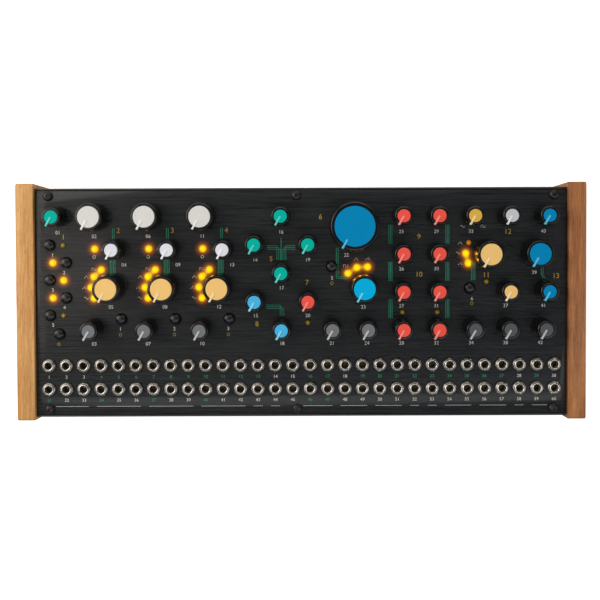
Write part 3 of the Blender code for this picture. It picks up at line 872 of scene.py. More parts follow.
    @classmethod
    def join(cls, name: str, pieces: Sequence[bpy.types.Object]) -> bpy.types.Object:
        """Join several pieces into one.

        Args:
            name: The joined piece's name.
            pieces: Two pieces or more.

        Returns:
            The joined piece.
        """
        cls.pick(*pieces)
        bpy.ops.object.join()
        return cls.settle(bpy.context.active_object, name)

    @staticmethod
    def stamp(master: bpy.types.Object, name: str, place: Matrix) -> bpy.types.Object:
        """Copy a modelled piece, mesh and all, to its place.

        Args:
            master: The piece to copy.
            name: The copy's name.
            place: The matrix that its mesh is moved by.

        Returns:
            The copy.
        """
        piece = master.copy()
        piece.data = master.data.copy()
        piece.data.transform(place)
        piece.name = name
        piece.data.name = name
        bpy.context.scene.collection.objects.link(piece)
        return piece

    @staticmethod
    def choose_faces(test: Callable[[Vector, Vector], bool]) -> None:
        """Select, in edit mode, the faces whose middle and normal pass a test.

        Args:
            test: Takes a face's middle and normal, and says whether it is wanted.
        """
        bpy.ops.mesh.select_all(action="DESELECT")
        mesh = bpy.context.active_object.data
        shape = bmesh.from_edit_mesh(mesh)
        shape.select_mode = {"FACE"}
        for face in shape.faces:
            face.select_set(test(face.calc_center_median(), face.normal))
        bmesh.update_edit_mesh(mesh)

    @classmethod
    def copy_of_node(cls, node: str, name: str, floor: float | None = None) -> bpy.types.Object:
        """Copy a CAD node and merge its loose triangles into clean faces.

        Args:
            node: The CAD node.
            name: The copy's name.
            floor: Height below which the copy is cut away and closed, if any.

        Returns:
            The copy.
        """
        piece = cls.stamp(frame["nodes"][node], name, Matrix.Identity(4))
        for key in [key for key in piece.keys() if key.startswith("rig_")]:
            del piece[key]
        piece.parent = None
        piece.data.materials.clear()
        cls.pick(piece)
        bpy.ops.object.mode_set(mode="EDIT")
        bpy.ops.mesh.select_all(action="SELECT")
        bpy.ops.mesh.remove_doubles(threshold=0.000002)
        if floor is not None:
            bpy.ops.mesh.bisect(plane_co=(0, 0, floor), plane_no=(0, 0, 1), clear_inner=True, use_fill=True)
            bpy.ops.mesh.select_all(action="SELECT")
        bpy.ops.mesh.dissolve_limited(angle_limit=math.radians(0.5))
        cls.leave_edit()
        return piece


# Assemblies
class Assembly:
    """Something built of several pieces that ride on CAD bodies."""

    body: ClassVar[str] = "case"

    @staticmethod
    def dress(piece: bpy.types.Object, finish: Finish) -> None:
        """Give a piece one look."""
        piece.data.materials.clear()
        piece.data.materials.append(finish.material())

    def own(self, piece: bpy.types.Object, finish: Finish, slot: str, *nodes: str,
            body: str | None = None) -> None:
        """Dress a finished piece and tie it to its body.

        Args:
            piece: The finished piece.
            finish: Its look.
            slot: The record's material slot; not used.
            nodes: CAD nodes that it stands for.
            body: The body that it rides on, if not the assembly's own.
        """
        self.dress(piece, finish)
        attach(piece, body or self.body)
        if nodes:
            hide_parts(*nodes)
        LOG.info("%s rides on %s", piece.name, body or self.body)

    def build(self) -> None:
        """Model, place and dress every piece."""
        raise NotImplementedError


@dataclass
class KnobSet(Assembly):
    """Every knob: a turned body with a rounded shoulder, a flush cap and a pointer rib."""

    foot_mm: float = BOARD_TOP_MM + 6.8
    lift_mm: float = 0.8
    shaft_mm: float = 3.0
    pointer_mm: Spot = (5.8, 1.1)
    pointer_rise_mm: float = 0.3
    tip_mm: float = 0.9
    nose_mm: float = 1.2

    alike: ClassVar[dict[str, str]] = {"cool_white": "white", "silver": "white", "pale_sky": "sky",
                                       "dark_grey": "grey"}
    coloured: ClassVar[dict[CapColour, tuple[str, ...]]] = {
        CapColour.GREY: ("shape_cv", "frequency_cv"),
        # The darker grey is painted shade for these cv knobs at the dimmer right side.
        CapColour.DARK_GREY: ("response_cv", "dynamics_cv", "echo_time_cv"),
        CapColour.TEAL: ("glide", "channel"),
        CapColour.WHITE: ("pitch",),
        CapColour.COOL_WHITE: ("modulation",),
        # The darker white is painted shade for the output knob at the dimmer right side.
        CapColour.SILVER: ("output",),
        CapColour.PEACH: ("shape", "dynamics", "gate"),
        CapColour.MUSTARD: ("response",),
        CapColour.PALE_SKY: ("preamp",),
        CapColour.SKY: ("resonance",),
        CapColour.RED: ("slow", "attack", "decay", "sustain", "release"),
    }

    def profile(self, style: KnobStyle) -> list[Spot]:
        """Return the body's profile, from the foot of its shaft to the seat of its cap.

        Args:
            style: The size of knob.

        Returns:
            (radius, height) points in millimetres, bottom first.
        """
        base, cap, _sides = style.value
        top = KNOB_TOP_MM
        shoulder = base - 0.35
        return [
            (self.shaft_mm, self.foot_mm), (self.shaft_mm, self.lift_mm),
            (base - 0.25, self.lift_mm), (base, self.lift_mm + 0.25), (base - 0.08, top * 0.5),
            (shoulder, top - 1.3),
            (shoulder - 0.08, top - 0.85), (shoulder - 0.25, top - 0.46), (shoulder - 0.52, top - 0.19),
            (shoulder - 0.8, top - 0.1), (cap + 0.24, top - 0.16), (cap + 0.14, top - 0.3),
            (cap + 0.12, top - 0.5),
        ]

    def cap(self, style: KnobStyle) -> bpy.types.Object:
        """Model the flat cap that sits in the body's top.

        Args:
            style: The size of knob.

        Returns:
            The master piece, standing at the origin.
        """
        _base, radius, sides = style.value
        top = KNOB_TOP_MM
        points = [(radius, top - 0.5), (radius, top - 0.1), (radius - 0.1, top), (radius * 0.5, top)]
        return Bench.smooth(Bench.turned("cap_master", points, sides))

    def pointer(self, style: KnobStyle) -> bpy.types.Object:
        """Model the rib that crosses the cap and runs down the flank, pointing along +X.

        Args:
            style: The size of knob.

        Returns:
            The master piece, standing at the origin.
        """
        length, width = self.pointer_mm
        tip = style.value[0] + 0.1
        corner = tip - self.tip_mm
        start = tip - length
        high = (KNOB_TOP_MM + self.pointer_rise_mm) * MM
        low = (KNOB_TOP_MM - 0.5) * MM
        piece = Bench.block("pointer_master", ((start + corner) / 2 * MM, 0, (high + low) / 2),
                            ((corner - start) * MM, width * MM, high - low))
        Bench.pick(piece)
        bpy.ops.object.mode_set(mode="EDIT")
        for test, move in (
                (lambda middle, normal: normal.x > 0.9, (self.tip_mm * MM, 0, 0)),
                (lambda middle, normal: normal.z < -0.9 and middle.x > corner * MM,
                 (0.05 * MM, 0, -self.nose_mm * MM))):
            Bench.choose_faces(test)
            bpy.ops.mesh.extrude_region_move(TRANSFORM_OT_translate={"value": move})
        Bench.leave_edit()
        Bench.soften(piece, 0.14 * MM)
        return piece

    def flank_rib(self, style: KnobStyle) -> bpy.types.Object:
        """Model the black rib that carries the pointer's line down the flank.

        Args:
            style: The size of knob.

        Returns:
            The master piece, standing at the origin.
        """
        low = self.lift_mm + 0.2
        high = KNOB_TOP_MM - self.nose_mm - 0.5
        middle = (style.value[0] - 0.2) * MM, 0, (low + high) / 2 * MM
        size = self.tip_mm * MM, self.pointer_mm[1] * MM, (high - low) * MM
        return Bench.block("rib_master", middle, size, 0.12 * MM)

    @staticmethod
    def style_of(node: str) -> KnobStyle:
        """Return the size of a knob, by its node's name.

        Args:
            node: The knob's node.

        Returns:
            Its size.
        """
        if node == "frequency_knob":
            return KnobStyle.LARGE
        medium = ("pitch_", "shape_1", "shape_2", "shape_3", "resonance", "dynamics_knob", "echo_time_knob")
        return KnobStyle.MEDIUM if node.startswith(medium) else KnobStyle.SMALL

    @classmethod
    def colour_of(cls, node: str) -> CapColour:
        """Return the cap colour of a knob: the first whose names its node starts with, else blue."""
        return next((colour for colour, starts in cls.coloured.items() if node.startswith(starts)),
                    CapColour.BLUE)

    def build(self) -> None:
        """Model each size once and stamp it at every knob's joint."""
        masters = {}
        for style in KnobStyle:
            turned = Bench.turned("body_master", self.profile(style), style.value[2])
            body = Bench.join("body_master", [turned, self.flank_rib(style)])
            masters[style] = (Bench.smooth(body, 30.0), self.cap(style), self.pointer(style))
        black = MouldedPlastic("knob_black", (0.0022, 0.0022, 0.0026, 1.0), roughness=0.17, grain=0.02)
        for joint in frame["joints"]:
            if joint["type"] != "hinge":
                continue
            node = joint["child"]
            place = Matrix.Translation(joint["pos_m"]) @ Matrix.Rotation(SLOPE, 4, "X")
            place = place @ Matrix.Rotation(REST_TURN, 4, "Z")
            colour = self.colour_of(node)
            label = colour.name.lower()
            slot = f"cap_{self.alike.get(label, label)}"
            face, tint = (linear(*shade) for shade in colour.value)
            looks = (
                ("body", black, "knob_black"),
                ("cap", MouldedPlastic(f"cap_{label}", face, roughness=0.6, mottle=0.07, grain=0.08,
                                       gloss=0.06), slot),
                ("pointer", MouldedPlastic(f"pointer_{label}", tint, roughness=0.5, mottle=0.04,
                                           grain=0.04, gloss=0.2), slot),
            )
            for master, (kind, look, slot_name) in zip(masters[self.style_of(node)], looks):
                self.own(Bench.stamp(master, f"{node}_{kind}", place), look, slot_name, node, body=node)
        for trio in masters.values():
            Bench.discard(*trio)


@dataclass
class ButtonSet(Assembly):
    """Every push button: a polished dome on a straight stem."""

    radius_mm: float = 3.1
    foot_mm: float = BOARD_TOP_MM + 5.1
    height_mm: float = 2.7
    dome_mm: float = 1.4
    steps: int = 8
    sides: int = 40

    def build(self) -> None:
        """Model one cap and stamp it over every button's node."""
        edge = self.height_mm - self.dome_mm
        points = [(self.radius_mm, self.foot_mm), (self.radius_mm, edge)]
        for step in range(1, self.steps):
            rise = math.radians(90 * step / self.steps)
            points.append((self.radius_mm * math.cos(rise), edge + self.dome_mm * math.sin(rise)))
        master = Bench.smooth(Bench.turned("button_master", points, self.sides))
        gloss = MouldedPlastic("button_black", (0.0045, 0.0045, 0.005, 1.0), roughness=0.28, mottle=0.05,
                               grain=0.02, gloss=0.45)
        for item in controls():
            if not item.turns:
                piece = Bench.stamp(master, f"{item.node}_dome", on_panel(item.u_mm, item.v_mm))
                self.own(piece, gloss, "button_black", item.node, body=item.node)
        Bench.discard(master)


@dataclass
class PatchBay(Assembly):
    """The sixty jacks: a notched nut and a bright bushing round each bore."""

    nut_mm: float = 4.0
    nut_height_mm: float = 1.8
    bushing_mm: float = 2.95
    bore_mm: float = 2.1
    slot_mm: float = 0.7
    slot_depth_mm: float = 0.45
    throat_mm: float = 4.8
    contact_at_mm: Triple = (1.15, 0.0, -3.5)
    contact_size_mm: Triple = (0.4, 1.0, 1.8)
    contact_lean: float = math.radians(5)
    turn_step: int = 67
    sides: int = 36

    def nut(self) -> bpy.types.Object:
        """Model the nut, bevelled round its top and notched for its driver.

        Returns:
            The master piece, standing at the origin.
        """
        r, h, inner = self.nut_mm, self.nut_height_mm, self.bushing_mm + 0.1
        points = [(r - 0.2, 0.0), (r, 0.2), (r, h - 0.85), (r - 0.14, h - 0.55), (r - 0.6, h - 0.08),
                  (r - 0.75, h), (inner + 0.02, h), (inner, h - 0.1), (inner, 0.0)]
        piece = Bench.turned("nut_master", points, self.sides, ring=True)
        slot = Bench.block("slot_cutter", (0, 0, h * MM),
                           (2.4 * r * MM, self.slot_mm * MM, 2 * self.slot_depth_mm * MM))
        Bench.carve(piece, slot)
        return Bench.smooth(piece, 32.0)

    def bushing(self) -> bpy.types.Object:
        """Model the bushing, with its rounded bright lip.

        Returns:
            The master piece, standing at the origin.
        """
        r, b, h = self.bushing_mm, self.bore_mm, self.nut_height_mm
        points = [(r - 0.05, -2.0), (r - 0.05, h - 0.1), (r, h + 0.02), (r - 0.08, h + 0.2),
                  (r - 0.28, h + 0.34), ((r + b) / 2, h + 0.38), (b + 0.18, h + 0.3),
                  (b + 0.04, h + 0.14), (b, h - 0.1), (b, -2.0)]
        return Bench.smooth(Bench.turned("bushing_master", points, self.sides, ring=True), 50.0)

    def throat(self) -> bpy.types.Object:
        """Model the moulded sleeve inside the bushing, down to the springs.

        Returns:
            The master piece, standing at the origin.
        """
        r, h = self.bore_mm - 0.01, self.nut_height_mm - 0.45
        points = [(r, -self.throat_mm), (r, h), (r - 0.08, h + 0.04), (r - 0.15, h - 0.04),
                  (r - 0.15, 0.4 - self.throat_mm), (r - 0.9, 0.3 - self.throat_mm)]
        return Bench.smooth(Bench.turned("throat_master", points, 28), 40.0)

    def contact(self) -> bpy.types.Object:
        """Model the bent spring contact that shows deep in the bore.

        Returns:
            The master piece, standing at the origin.
        """
        centre = [place * MM for place in self.contact_at_mm]
        size = [side * MM for side in self.contact_size_mm]
        piece = Bench.block("contact_master", centre, size, 0.1 * MM)
        piece.data.transform(Matrix.Rotation(self.contact_lean, 4, "Y"))
        return piece

    def build(self) -> None:
        """Stamp a nut, a bushing, a sleeve and a contact at every jack."""
        panel = ("front_panel",)
        kinds = (
            ("nut", self.nut(), Metal("nut_nickel", linear(168, 163, 155), 0.24), panel),
            ("bushing", self.bushing(), Metal("bushing_nickel", linear(226, 221, 211), 0.18), panel),
            ("throat", self.throat(), JackThroat(), ()),
            ("contact", self.contact(), Metal("contact_bronze", linear(120, 92, 58), 0.35), ()),
        )
        for row, v in enumerate(JACK_ROWS_MM):
            for index in range(JACK_COLUMNS):
                number = row * JACK_COLUMNS + index + 1
                place = on_panel(column_mm(index), v, 0.0, math.radians((number * self.turn_step) % 360))
                for kind, master, look, nodes in kinds:
                    piece = Bench.stamp(master, f"jack_{number:02d}_{kind}", place)
                    self.own(piece, look, "jack_nickel", *nodes)
        Bench.discard(*(master for _kind, master, _look, _nodes in kinds))


@dataclass(frozen=True)
class LampSpot:
    """One indicator lamp: its name, place and state."""

    name: str
    u_mm: float
    v_mm: float
    state: LampState = LampState.LIT


@dataclass
class LampSet(Assembly):
    """The thirty indicator lamps."""

    radius_mm: float = 1.5
    skirt_mm: float = 0.3
    dome_mm: float = 0.9
    dome_steps: int = 6
    crown: float = 3.0

    @staticmethod
    def round_knob(name: str, centre: Spot, radius: float, turns: Iterable[float],
                   states: Sequence[LampState]) -> list[LampSpot]:
        """Return lamps on an arc round a knob, at turns in degrees from its right side.

        Args:
            name: The lamps' name, without its number.
            centre: The knob's middle, in millimetres.
            radius: The arc's radius, in millimetres.
            turns: Each lamp's turn in degrees.
            states: Each lamp's state.

        Returns:
            The lamps.
        """
        spots = []
        for index, (turn, state) in enumerate(zip(turns, states)):
            angle = math.radians(turn)
            u = centre[0] + radius * math.cos(angle)
            v = centre[1] + radius * math.sin(angle)
            spots.append(LampSpot(f"{name}_{index + 1}", u, v, state))
        return spots

    def spots(self) -> list[LampSpot]:
        """Return every lamp.

        Returns:
            The lamps, with their places and states.
        """
        lit, dim, off = LampState.LIT, LampState.DIM, LampState.OFF
        lamps = []
        for index, state in enumerate((off, lit, lit, lit, off)):
            side = 3.05 * (-1) ** index
            lamps.append(LampSpot(f"pattern_lamp_{index + 1}", -139.2 + side, 33.2 - index * 10.08, state))
        for index, start in enumerate(by_oscillator(-118.4)):
            lamps.append(LampSpot(f"oscillator_lamp_{index + 1}", start + 0.2, 31.0))
            lamps += self.round_knob(f"shape_lamp_{index + 1}", (start + 9.3, 8.9), 11.5,
                                     (212.5, 180, 147.5, 118), (lit,) * 4)
        lamps += self.round_knob("filter_lamp", (35.6, 8.54), 11.9, (138, 108, 78), (lit,) * 3)
        lamps += self.round_knob("dynamics_lamp", (106.2, 27.8), 11.9, (209, 180, 149), (lit, lit, dim))
        lamps.append(LampSpot("slow_oscillator_lamp", 3.8, -11.7, off))
        lamps += [LampSpot(f"envelope_lamp_{index + 1}", u, -5.9, off)
                  for index, u in enumerate((58.0, 78.0))]
        lamps.append(LampSpot("response_lamp", 106.2, 11.5, off))
        return lamps

    def lit(self) -> list[LampSpot]:
        """Return the lamps that are fully lit."""
        return [spot for spot in self.spots() if spot.state is LampState.LIT]

    def lens(self) -> bpy.types.Object:
        """Model a domed lens and note in its mesh how far each point is from the middle.

        Returns:
            The master piece, standing at the origin.
        """
        r = self.radius_mm
        points = [(r, -0.1), (r, self.skirt_mm)]
        for step in range(1, self.dome_steps + 1):
            rise = math.radians(90 * step / self.dome_steps - self.crown)
            points.append((r * math.cos(rise), self.skirt_mm + self.dome_mm * math.sin(rise)))
        piece = Bench.turned("lens_master", points, 24)
        rim = piece.data.attributes.new("rim", "FLOAT", "POINT")
        for vertex, note in zip(piece.data.vertices, rim.data):
            note.value = min(1.0, vertex.co.xy.length / (r * MM))
        return Bench.smooth(piece, 60.0)

    def build(self) -> None:
        """Stamp a lens at every lamp."""
        master = self.lens()
        for spot in self.spots():
            finish = LampLens(f"lens_{spot.state.name.lower()}", spot.state)
            piece = Bench.stamp(master, f"{spot.name}_lens", on_panel(spot.u_mm, spot.v_mm))
            self.own(piece, finish, "lamp_lens", "front_panel")
        Bench.discard(master)


@dataclass
class PanelScrews(Assembly):
    """Six black button-head screws with hexagon sockets."""

    columns_mm: Triple = (-144.75, -2.54, 144.75)
    rows_mm: Spot = (-61.25, 61.25)
    first_turn: int = 25
    turn_step: int = 40

    def build(self) -> None:
        """Model one screw, cut its socket and stamp it six times."""
        points = [(2.7, 0.0), (2.8, 0.2), (2.75, 0.55), (2.45, 1.0), (2.0, 1.35), (1.5, 1.55), (0.9, 1.6)]
        screw = Bench.turned("screw_master", points, 36)
        Bench.carve(screw, Bench.turned("socket_cutter", [(1.05, 0.5), (1.05, 2.5)], 6))
        Bench.smooth(screw)
        oxide = Metal("black_oxide", linear(52, 50, 50), 0.26, 0.6)
        places = [(u, v) for u in self.columns_mm for v in self.rows_mm]
        for index, (u, v) in enumerate(places):
            place = on_panel(u, v, 0.0, math.radians(self.first_turn + self.turn_step * index))
            piece = Bench.stamp(screw, f"panel_screw_{index + 1}", place)
            self.own(piece, oxide, "screw_black", "front_panel")
        Bench.discard(screw)


@dataclass
class FrontPlate(Assembly):
    """The anodised plate with a hole for every jack, shaft and button."""

    edge_mm: float = 0.2
    jack_hole_mm: float = 2.95
    shaft_hole_mm: float = 3.6
    button_hole_mm: float = 3.4
    hole_sides: int = 28

    def holes(self) -> list[Triple]:
        """Return (u, v, radius) of every hole, in millimetres.

        Returns:
            The jacks' holes, then those of the knobs and buttons.
        """
        jacks = [(column_mm(index), v, self.jack_hole_mm)
                 for v in JACK_ROWS_MM for index in range(JACK_COLUMNS)]
        return jacks + [(item.u_mm, item.v_mm, self.shaft_hole_mm if item.turns else self.button_hole_mm)
                        for item in controls()]

    def build(self) -> None:
        """Cut the holes, soften the edges and lay the plate on its slope."""
        width, height, depth = (side * MM for side in PANEL_SIZE_MM)
        plate = Bench.block("front_plate", (0, 0, -depth / 2), (width, height, depth), self.edge_mm * MM)
        cutters = [Bench.fresh(bpy.ops.mesh.primitive_cylinder_add, vertices=self.hole_sides,
                               radius=radius * MM, depth=3 * depth, location=(u * MM, v * MM, 0))
                   for u, v, radius in self.holes()]
        Bench.carve(plate, Bench.join("hole_cutters", cutters))
        plate.data.transform(PANEL)
        Bench.smooth(plate)
        lamps = tuple(tuple(on_panel(spot.u_mm, spot.v_mm).translation) for spot in LampSet().lit())
        self.own(plate, AnodisedFace(lamps), "faceplate", "front_panel")


@dataclass
class PanelPrint(Assembly):
    """Generic screen print: plain numbers, signal lines, wave marks and rings."""

    thickness_mm: float = 0.02
    digit_mm: float = 2.9
    jack_digit_mm: float = 2.6
    section_digit_mm: float = 4.2
    white_line_mm: float = 0.22
    green_line_mm: float = 0.42
    yellow_line_mm: float = 0.26
    group_line_v_mm: float = -59.6
    group_overhang_mm: float = 2.6
    ring_mm: float = 0.8
    column_width_mm: float = 6.0

    drops_mm: ClassVar[dict[KnobStyle, float]] = {
        KnobStyle.SMALL: 9.2, KnobStyle.MEDIUM: 11.4, KnobStyle.LARGE: 16.8}
    crowded: ClassVar[tuple[str, ...]] = ("output_knob", "dynamics_knob")
    green_jacks: ClassVar[tuple[tuple[int, ...], ...]] = (
        (*range(3, 13), 15, 16, *range(18, 27), 28), (0, 3, 6, 9, 15, 16))
    sections: ClassVar[tuple[Spot, ...]] = (
        (-136.1, 37.8), (-104.6, 41.4), (-73.6, 41.4), (-42.7, 41.4), (-17.2, 24.9), (11.2, 48.9),
        (3.3, 11.2), (-25.4, -12.5), (67.5, 37.4), (67.5, 15.7), (106.1, 15.2), (118.4, 40.1), (146.0, 14.6))
    groups: ClassVar[tuple[Spot, ...]] = (
        (0.64, 2), (3, 5), (6, 8), (9, 11), (12, 12), (13, 13), (14.86, 16), (17, 18), (19, 20), (21, 21),
        (22, 22), (23, 24), (25, 26), (27, 27), (28, 28.36))
    waves: ClassVar[tuple[tuple[Spot, ...], ...]] = (
        ((-1.2, -0.7), (-1.2, 0.7), (0, 0.7), (0, -0.7), (1.2, -0.7), (1.2, 0.7)),
        ((-1.2, -0.7), (0, 0.8), (1.2, -0.7)),
        ((-1.2, -0.7), (0.6, 0.8), (0.6, -0.7), (1.2, -0.2)),
        ((-1.2, 0), (-0.9, 0.6), (-0.5, 0.6), (0, 0), (0.5, -0.6), (0.9, -0.6), (1.2, 0)))
    wave_spots: ClassVar[tuple[tuple[int, float, float], ...]] = (
        (0, 25.6, 20.8), (1, 31.6, 24.6), (2, 38.2, 25.0), (3, 92.5, 43.2), (0, 104.2, 43.2), (1, 91.2, 33.6),
        (3, 90.0, 27.9), (2, 91.2, 21.9))

    def numbers(self, name: str, marks: Iterable[Mark]) -> bpy.types.Object:
        """Set plain numbers on the panel.

        Args:
            name: The piece's name.
            marks: (digits, u, v, size) of each number, in millimetres.

        Returns:
            The joined numbers.
        """
        pieces = []
        for digits, u, v, size in marks:
            text = Bench.fresh(bpy.ops.object.text_add).data
            text.body = digits
            text.size = size * MM
            text.align_x = "CENTER"
            text.align_y = "CENTER"
            text.resolution_u = 3
            text.extrude = self.thickness_mm * MM
            bpy.ops.object.convert(target="MESH")
            piece = bpy.context.active_object
            piece.data.transform(Matrix.Translation((u * MM, v * MM, 0)))
            pieces.append(piece)
        joined = Bench.join(name, pieces)
        joined.data.transform(PANEL)
        return joined

    def strokes(self, name: str, lines: Iterable[Sequence[Spot]], width_mm: float) -> bpy.types.Object:
        """Draw lines of one width on the panel.

        Args:
            name: The piece's name.
            lines: Each line's (u, v) points, in millimetres.
            width_mm: The lines' width.

        Returns:
            The lines as one mesh, pressed almost flat.
        """
        curve = bpy.data.curves.new(name, "CURVE")
        curve.dimensions = "3D"
        curve.bevel_depth = width_mm / 2 * MM
        curve.bevel_resolution = 1
        curve.use_fill_caps = True
        for line in lines:
            spline = curve.splines.new("POLY")
            spline.points.add(len(line) - 1)
            for point, (u, v) in zip(spline.points, line):
                point.co = (u * MM, v * MM, 0, 1)
        Bench.pick(Bench.hang(name, curve))
        bpy.ops.object.convert(target="MESH")
        piece = bpy.context.active_object
        piece.data.transform(PANEL @ Matrix.Diagonal((1, 1, 2 * self.thickness_mm / width_mm, 1)))
        piece.name = name
        return piece

    def ring(self, u: float, v: float) -> list[Spot]:
        """Return the points of a small ring."""
        turns = [math.tau * step / 16 for step in range(17)]
        return [(u + self.ring_mm * math.cos(turn), v + self.ring_mm * math.sin(turn)) for turn in turns]

    def wave(self, kind: int, u: float, v: float) -> list[Spot]:
        """Return a common wave mark: square, triangle, saw or sine."""
        return [(u + across, v + up) for across, up in self.waves[kind]]

    @staticmethod
    def bundle(count: int, *path: tuple[float, float, float, float]) -> list[list[Spot]]:
        """Return lines side by side, along a path of (u, v, step in u, step in v)."""
        return [[(u + step * du, v + step * dv) for u, v, du, dv in path] for step in range(count)]

    @classmethod
    def upright(cls, count: int, pitch: float, u: float, top: float, bottom: float) -> list[list[Spot]]:
        """Return upright lines side by side, from a first one to the right."""
        return cls.bundle(count, (u, top, pitch, 0), (u, bottom, pitch, 0))

    @staticmethod
    def knob_spots() -> dict[str, Spot]:
        """Return (u, v) of every knob in millimetres, by its node."""
        return {item.node: (item.u_mm, item.v_mm) for item in controls() if item.turns}

    def jack_numbers(self, green: bool) -> list[Mark]:
        """Return the numbers under the jacks that are green, or white.

        Args:
            green: Whether to take the green ones.

        Returns:
            (digits, u, v, size) of each number.
        """
        return [(str(row * JACK_COLUMNS + index + 1), column_mm(index), v, self.jack_digit_mm)
                for row, v in enumerate(JACK_NUMBER_ROWS_MM) for index in range(JACK_COLUMNS)
                if (index in self.green_jacks[row]) == green]

    def white_numbers(self) -> list[Mark]:
        """Return the numbers under the knobs, buttons and the jacks printed in white.

        Returns:
            (digits, u, v, size) of each number.
        """
        order = sorted(self.knob_spots().items(),
                       key=lambda item: (round(item[1][0] / self.column_width_mm), -item[1][1]))
        marks = []
        for number, (node, (u, v)) in enumerate(order):
            aside = 4.4 if node.startswith("modulation") else -4.2 if node == "frequency_knob" else 0.0
            if node not in self.crowded:
                marks.append((f"{number + 1:02d}", u + aside, v - self.drops_mm[KnobSet.style_of(node)]))
        marks += [(str(index + 1), -142.4 + 6.6 * (index % 2), 27.5 - 10.05 * index) for index in range(5)]
        marks += [(str(index + 1), u, -15.1) for index, u in enumerate(by_oscillator(-103.8))]
        marks += [("5", 17.7, 13.8), ("6", 97.9, 1.7)]
        return [(*mark, self.digit_mm) for mark in marks] + self.jack_numbers(green=False)

    def white_lines(self) -> list[list[Spot]]:
        """Return the wave marks, the rings by the oscillators and the lines under groups of jacks.

        Returns:
            Each line's (u, v) points.
        """
        lines = []
        for start in by_oscillator(-118.7):
            for kind, (u, v) in enumerate(((0.0, 19.4), (-4.4, 14.8), (-5.6, 8.7), (-4.6, 2.8))):
                lines.append(self.wave(kind, start + u, v))
        lines += [self.wave(*spot) for spot in self.wave_spots]
        for first, last in self.groups:
            lines.append([(column_mm(first) - self.group_overhang_mm, self.group_line_v_mm),
                          (column_mm(last) + self.group_overhang_mm, self.group_line_v_mm)])
        return lines + [self.ring(u, 26.4) for u in by_oscillator(-118.5)]

    def green_lines(self) -> list[list[Spot]]:
        """Return the signal lines that join one control to the next.

        Returns:
            Each line's (u, v) points.
        """
        spots = self.knob_spots()
        lines = []
        for number in (1, 2, 3):
            u, v = spots[f"modulation_{number}_knob"]
            lines += self.upright(4, 0.9, u - 3.4, v - 6.2, spots[f"shape_{number}_knob"][1] + 8.0)
            lines += self.upright(2, 1.0, u - 2.0, v + 6.0, v + 12.0)
        middle, low = spots["channel_3_knob"]
        end = low + 6.8
        for node, side in (("channel_1_knob", 1), ("channel_4_knob", -1)):
            u, v = spots[node]
            turn = middle - 2.6 * side
            lines += self.bundle(3, (u + 7.0 * side, v - 1, 0, -1), (turn, v - 1, side, -1),
                                 (turn, end, side, 0))
        u, v = spots["channel_2_knob"]
        lines.append([(u, v - 12.6), (u, end)])
        level, gain = spots["preamp_level_knob"], spots["preamp_gain_knob"]
        lines += self.bundle(3, (level[0] + 6.2, level[1] - 3, 0, -1), (gain[0] - 1, level[1] - 3, 1, -1),
                             (gain[0] - 1, gain[1] + 6.8, 1, 0))
        cutoff, peak = spots["frequency_knob"], spots["resonance_knob"]
        lines += self.bundle(2, (cutoff[0] - 9, cutoff[1] - 12.5, -1, 0),
                             (cutoff[0] - 9, peak[1] + 6, -1, -1), (peak[0] - 9.5, peak[1] + 6, 0, -1))
        for number, side in ((1, -7.2), (2, 5.4)):
            for upper, lower in (("attack", "decay"), ("decay", "sustain"), ("sustain", "release")):
                u, v = spots[f"{upper}_{number}_knob"]
                lines += self.upright(3, 0.9, u + side, v - 5.2, spots[f"{lower}_{number}_knob"][1] + 5.2)
        u, v = spots["dynamics_knob"]
        lines += self.upright(3, 1.0, u - 8.6, v - 5.0, v - 15.5)
        (u, v), mix = spots["echo_time_knob"], spots["echo_mix_knob"]
        return lines + self.bundle(2, (u + 4, v - 8.5, 1, 0), (u + 4, v - 12.5, 1, 0),
                                   (mix[0], mix[1] + 6.5, 1, 0))

    def build(self) -> None:
        """Print the white, green and yellow marks."""
        white = PanelInk("ink_white", linear(225, 226, 222))
        green = PanelInk("ink_green", linear(10, 150, 112))
        yellow = PanelInk("ink_yellow", linear(196, 158, 40))
        sections = [(str(index + 1), u, v, self.section_digit_mm)
                    for index, (u, v) in enumerate(self.sections)]
        rings = [self.ring(u, -18.3) for u in by_oscillator(-103.8)]
        rings += [self.ring(97.8, -0.9), self.ring(17.7, 11.0), self.ring(-139.2, -23.6)]
        for piece, ink in (
                (self.numbers("white_numbers", self.white_numbers()), white),
                (self.numbers("green_numbers", self.jack_numbers(green=True)), green),
                (self.numbers("yellow_numbers", sections), yellow),
                (self.strokes("white_lines", self.white_lines(), self.white_line_mm), white),
                (self.strokes("green_lines", self.green_lines(), self.green_line_mm), green),
                (self.strokes("yellow_rings", rings, self.yellow_line_mm), yellow)):
            self.own(piece, ink, "panel_ink")


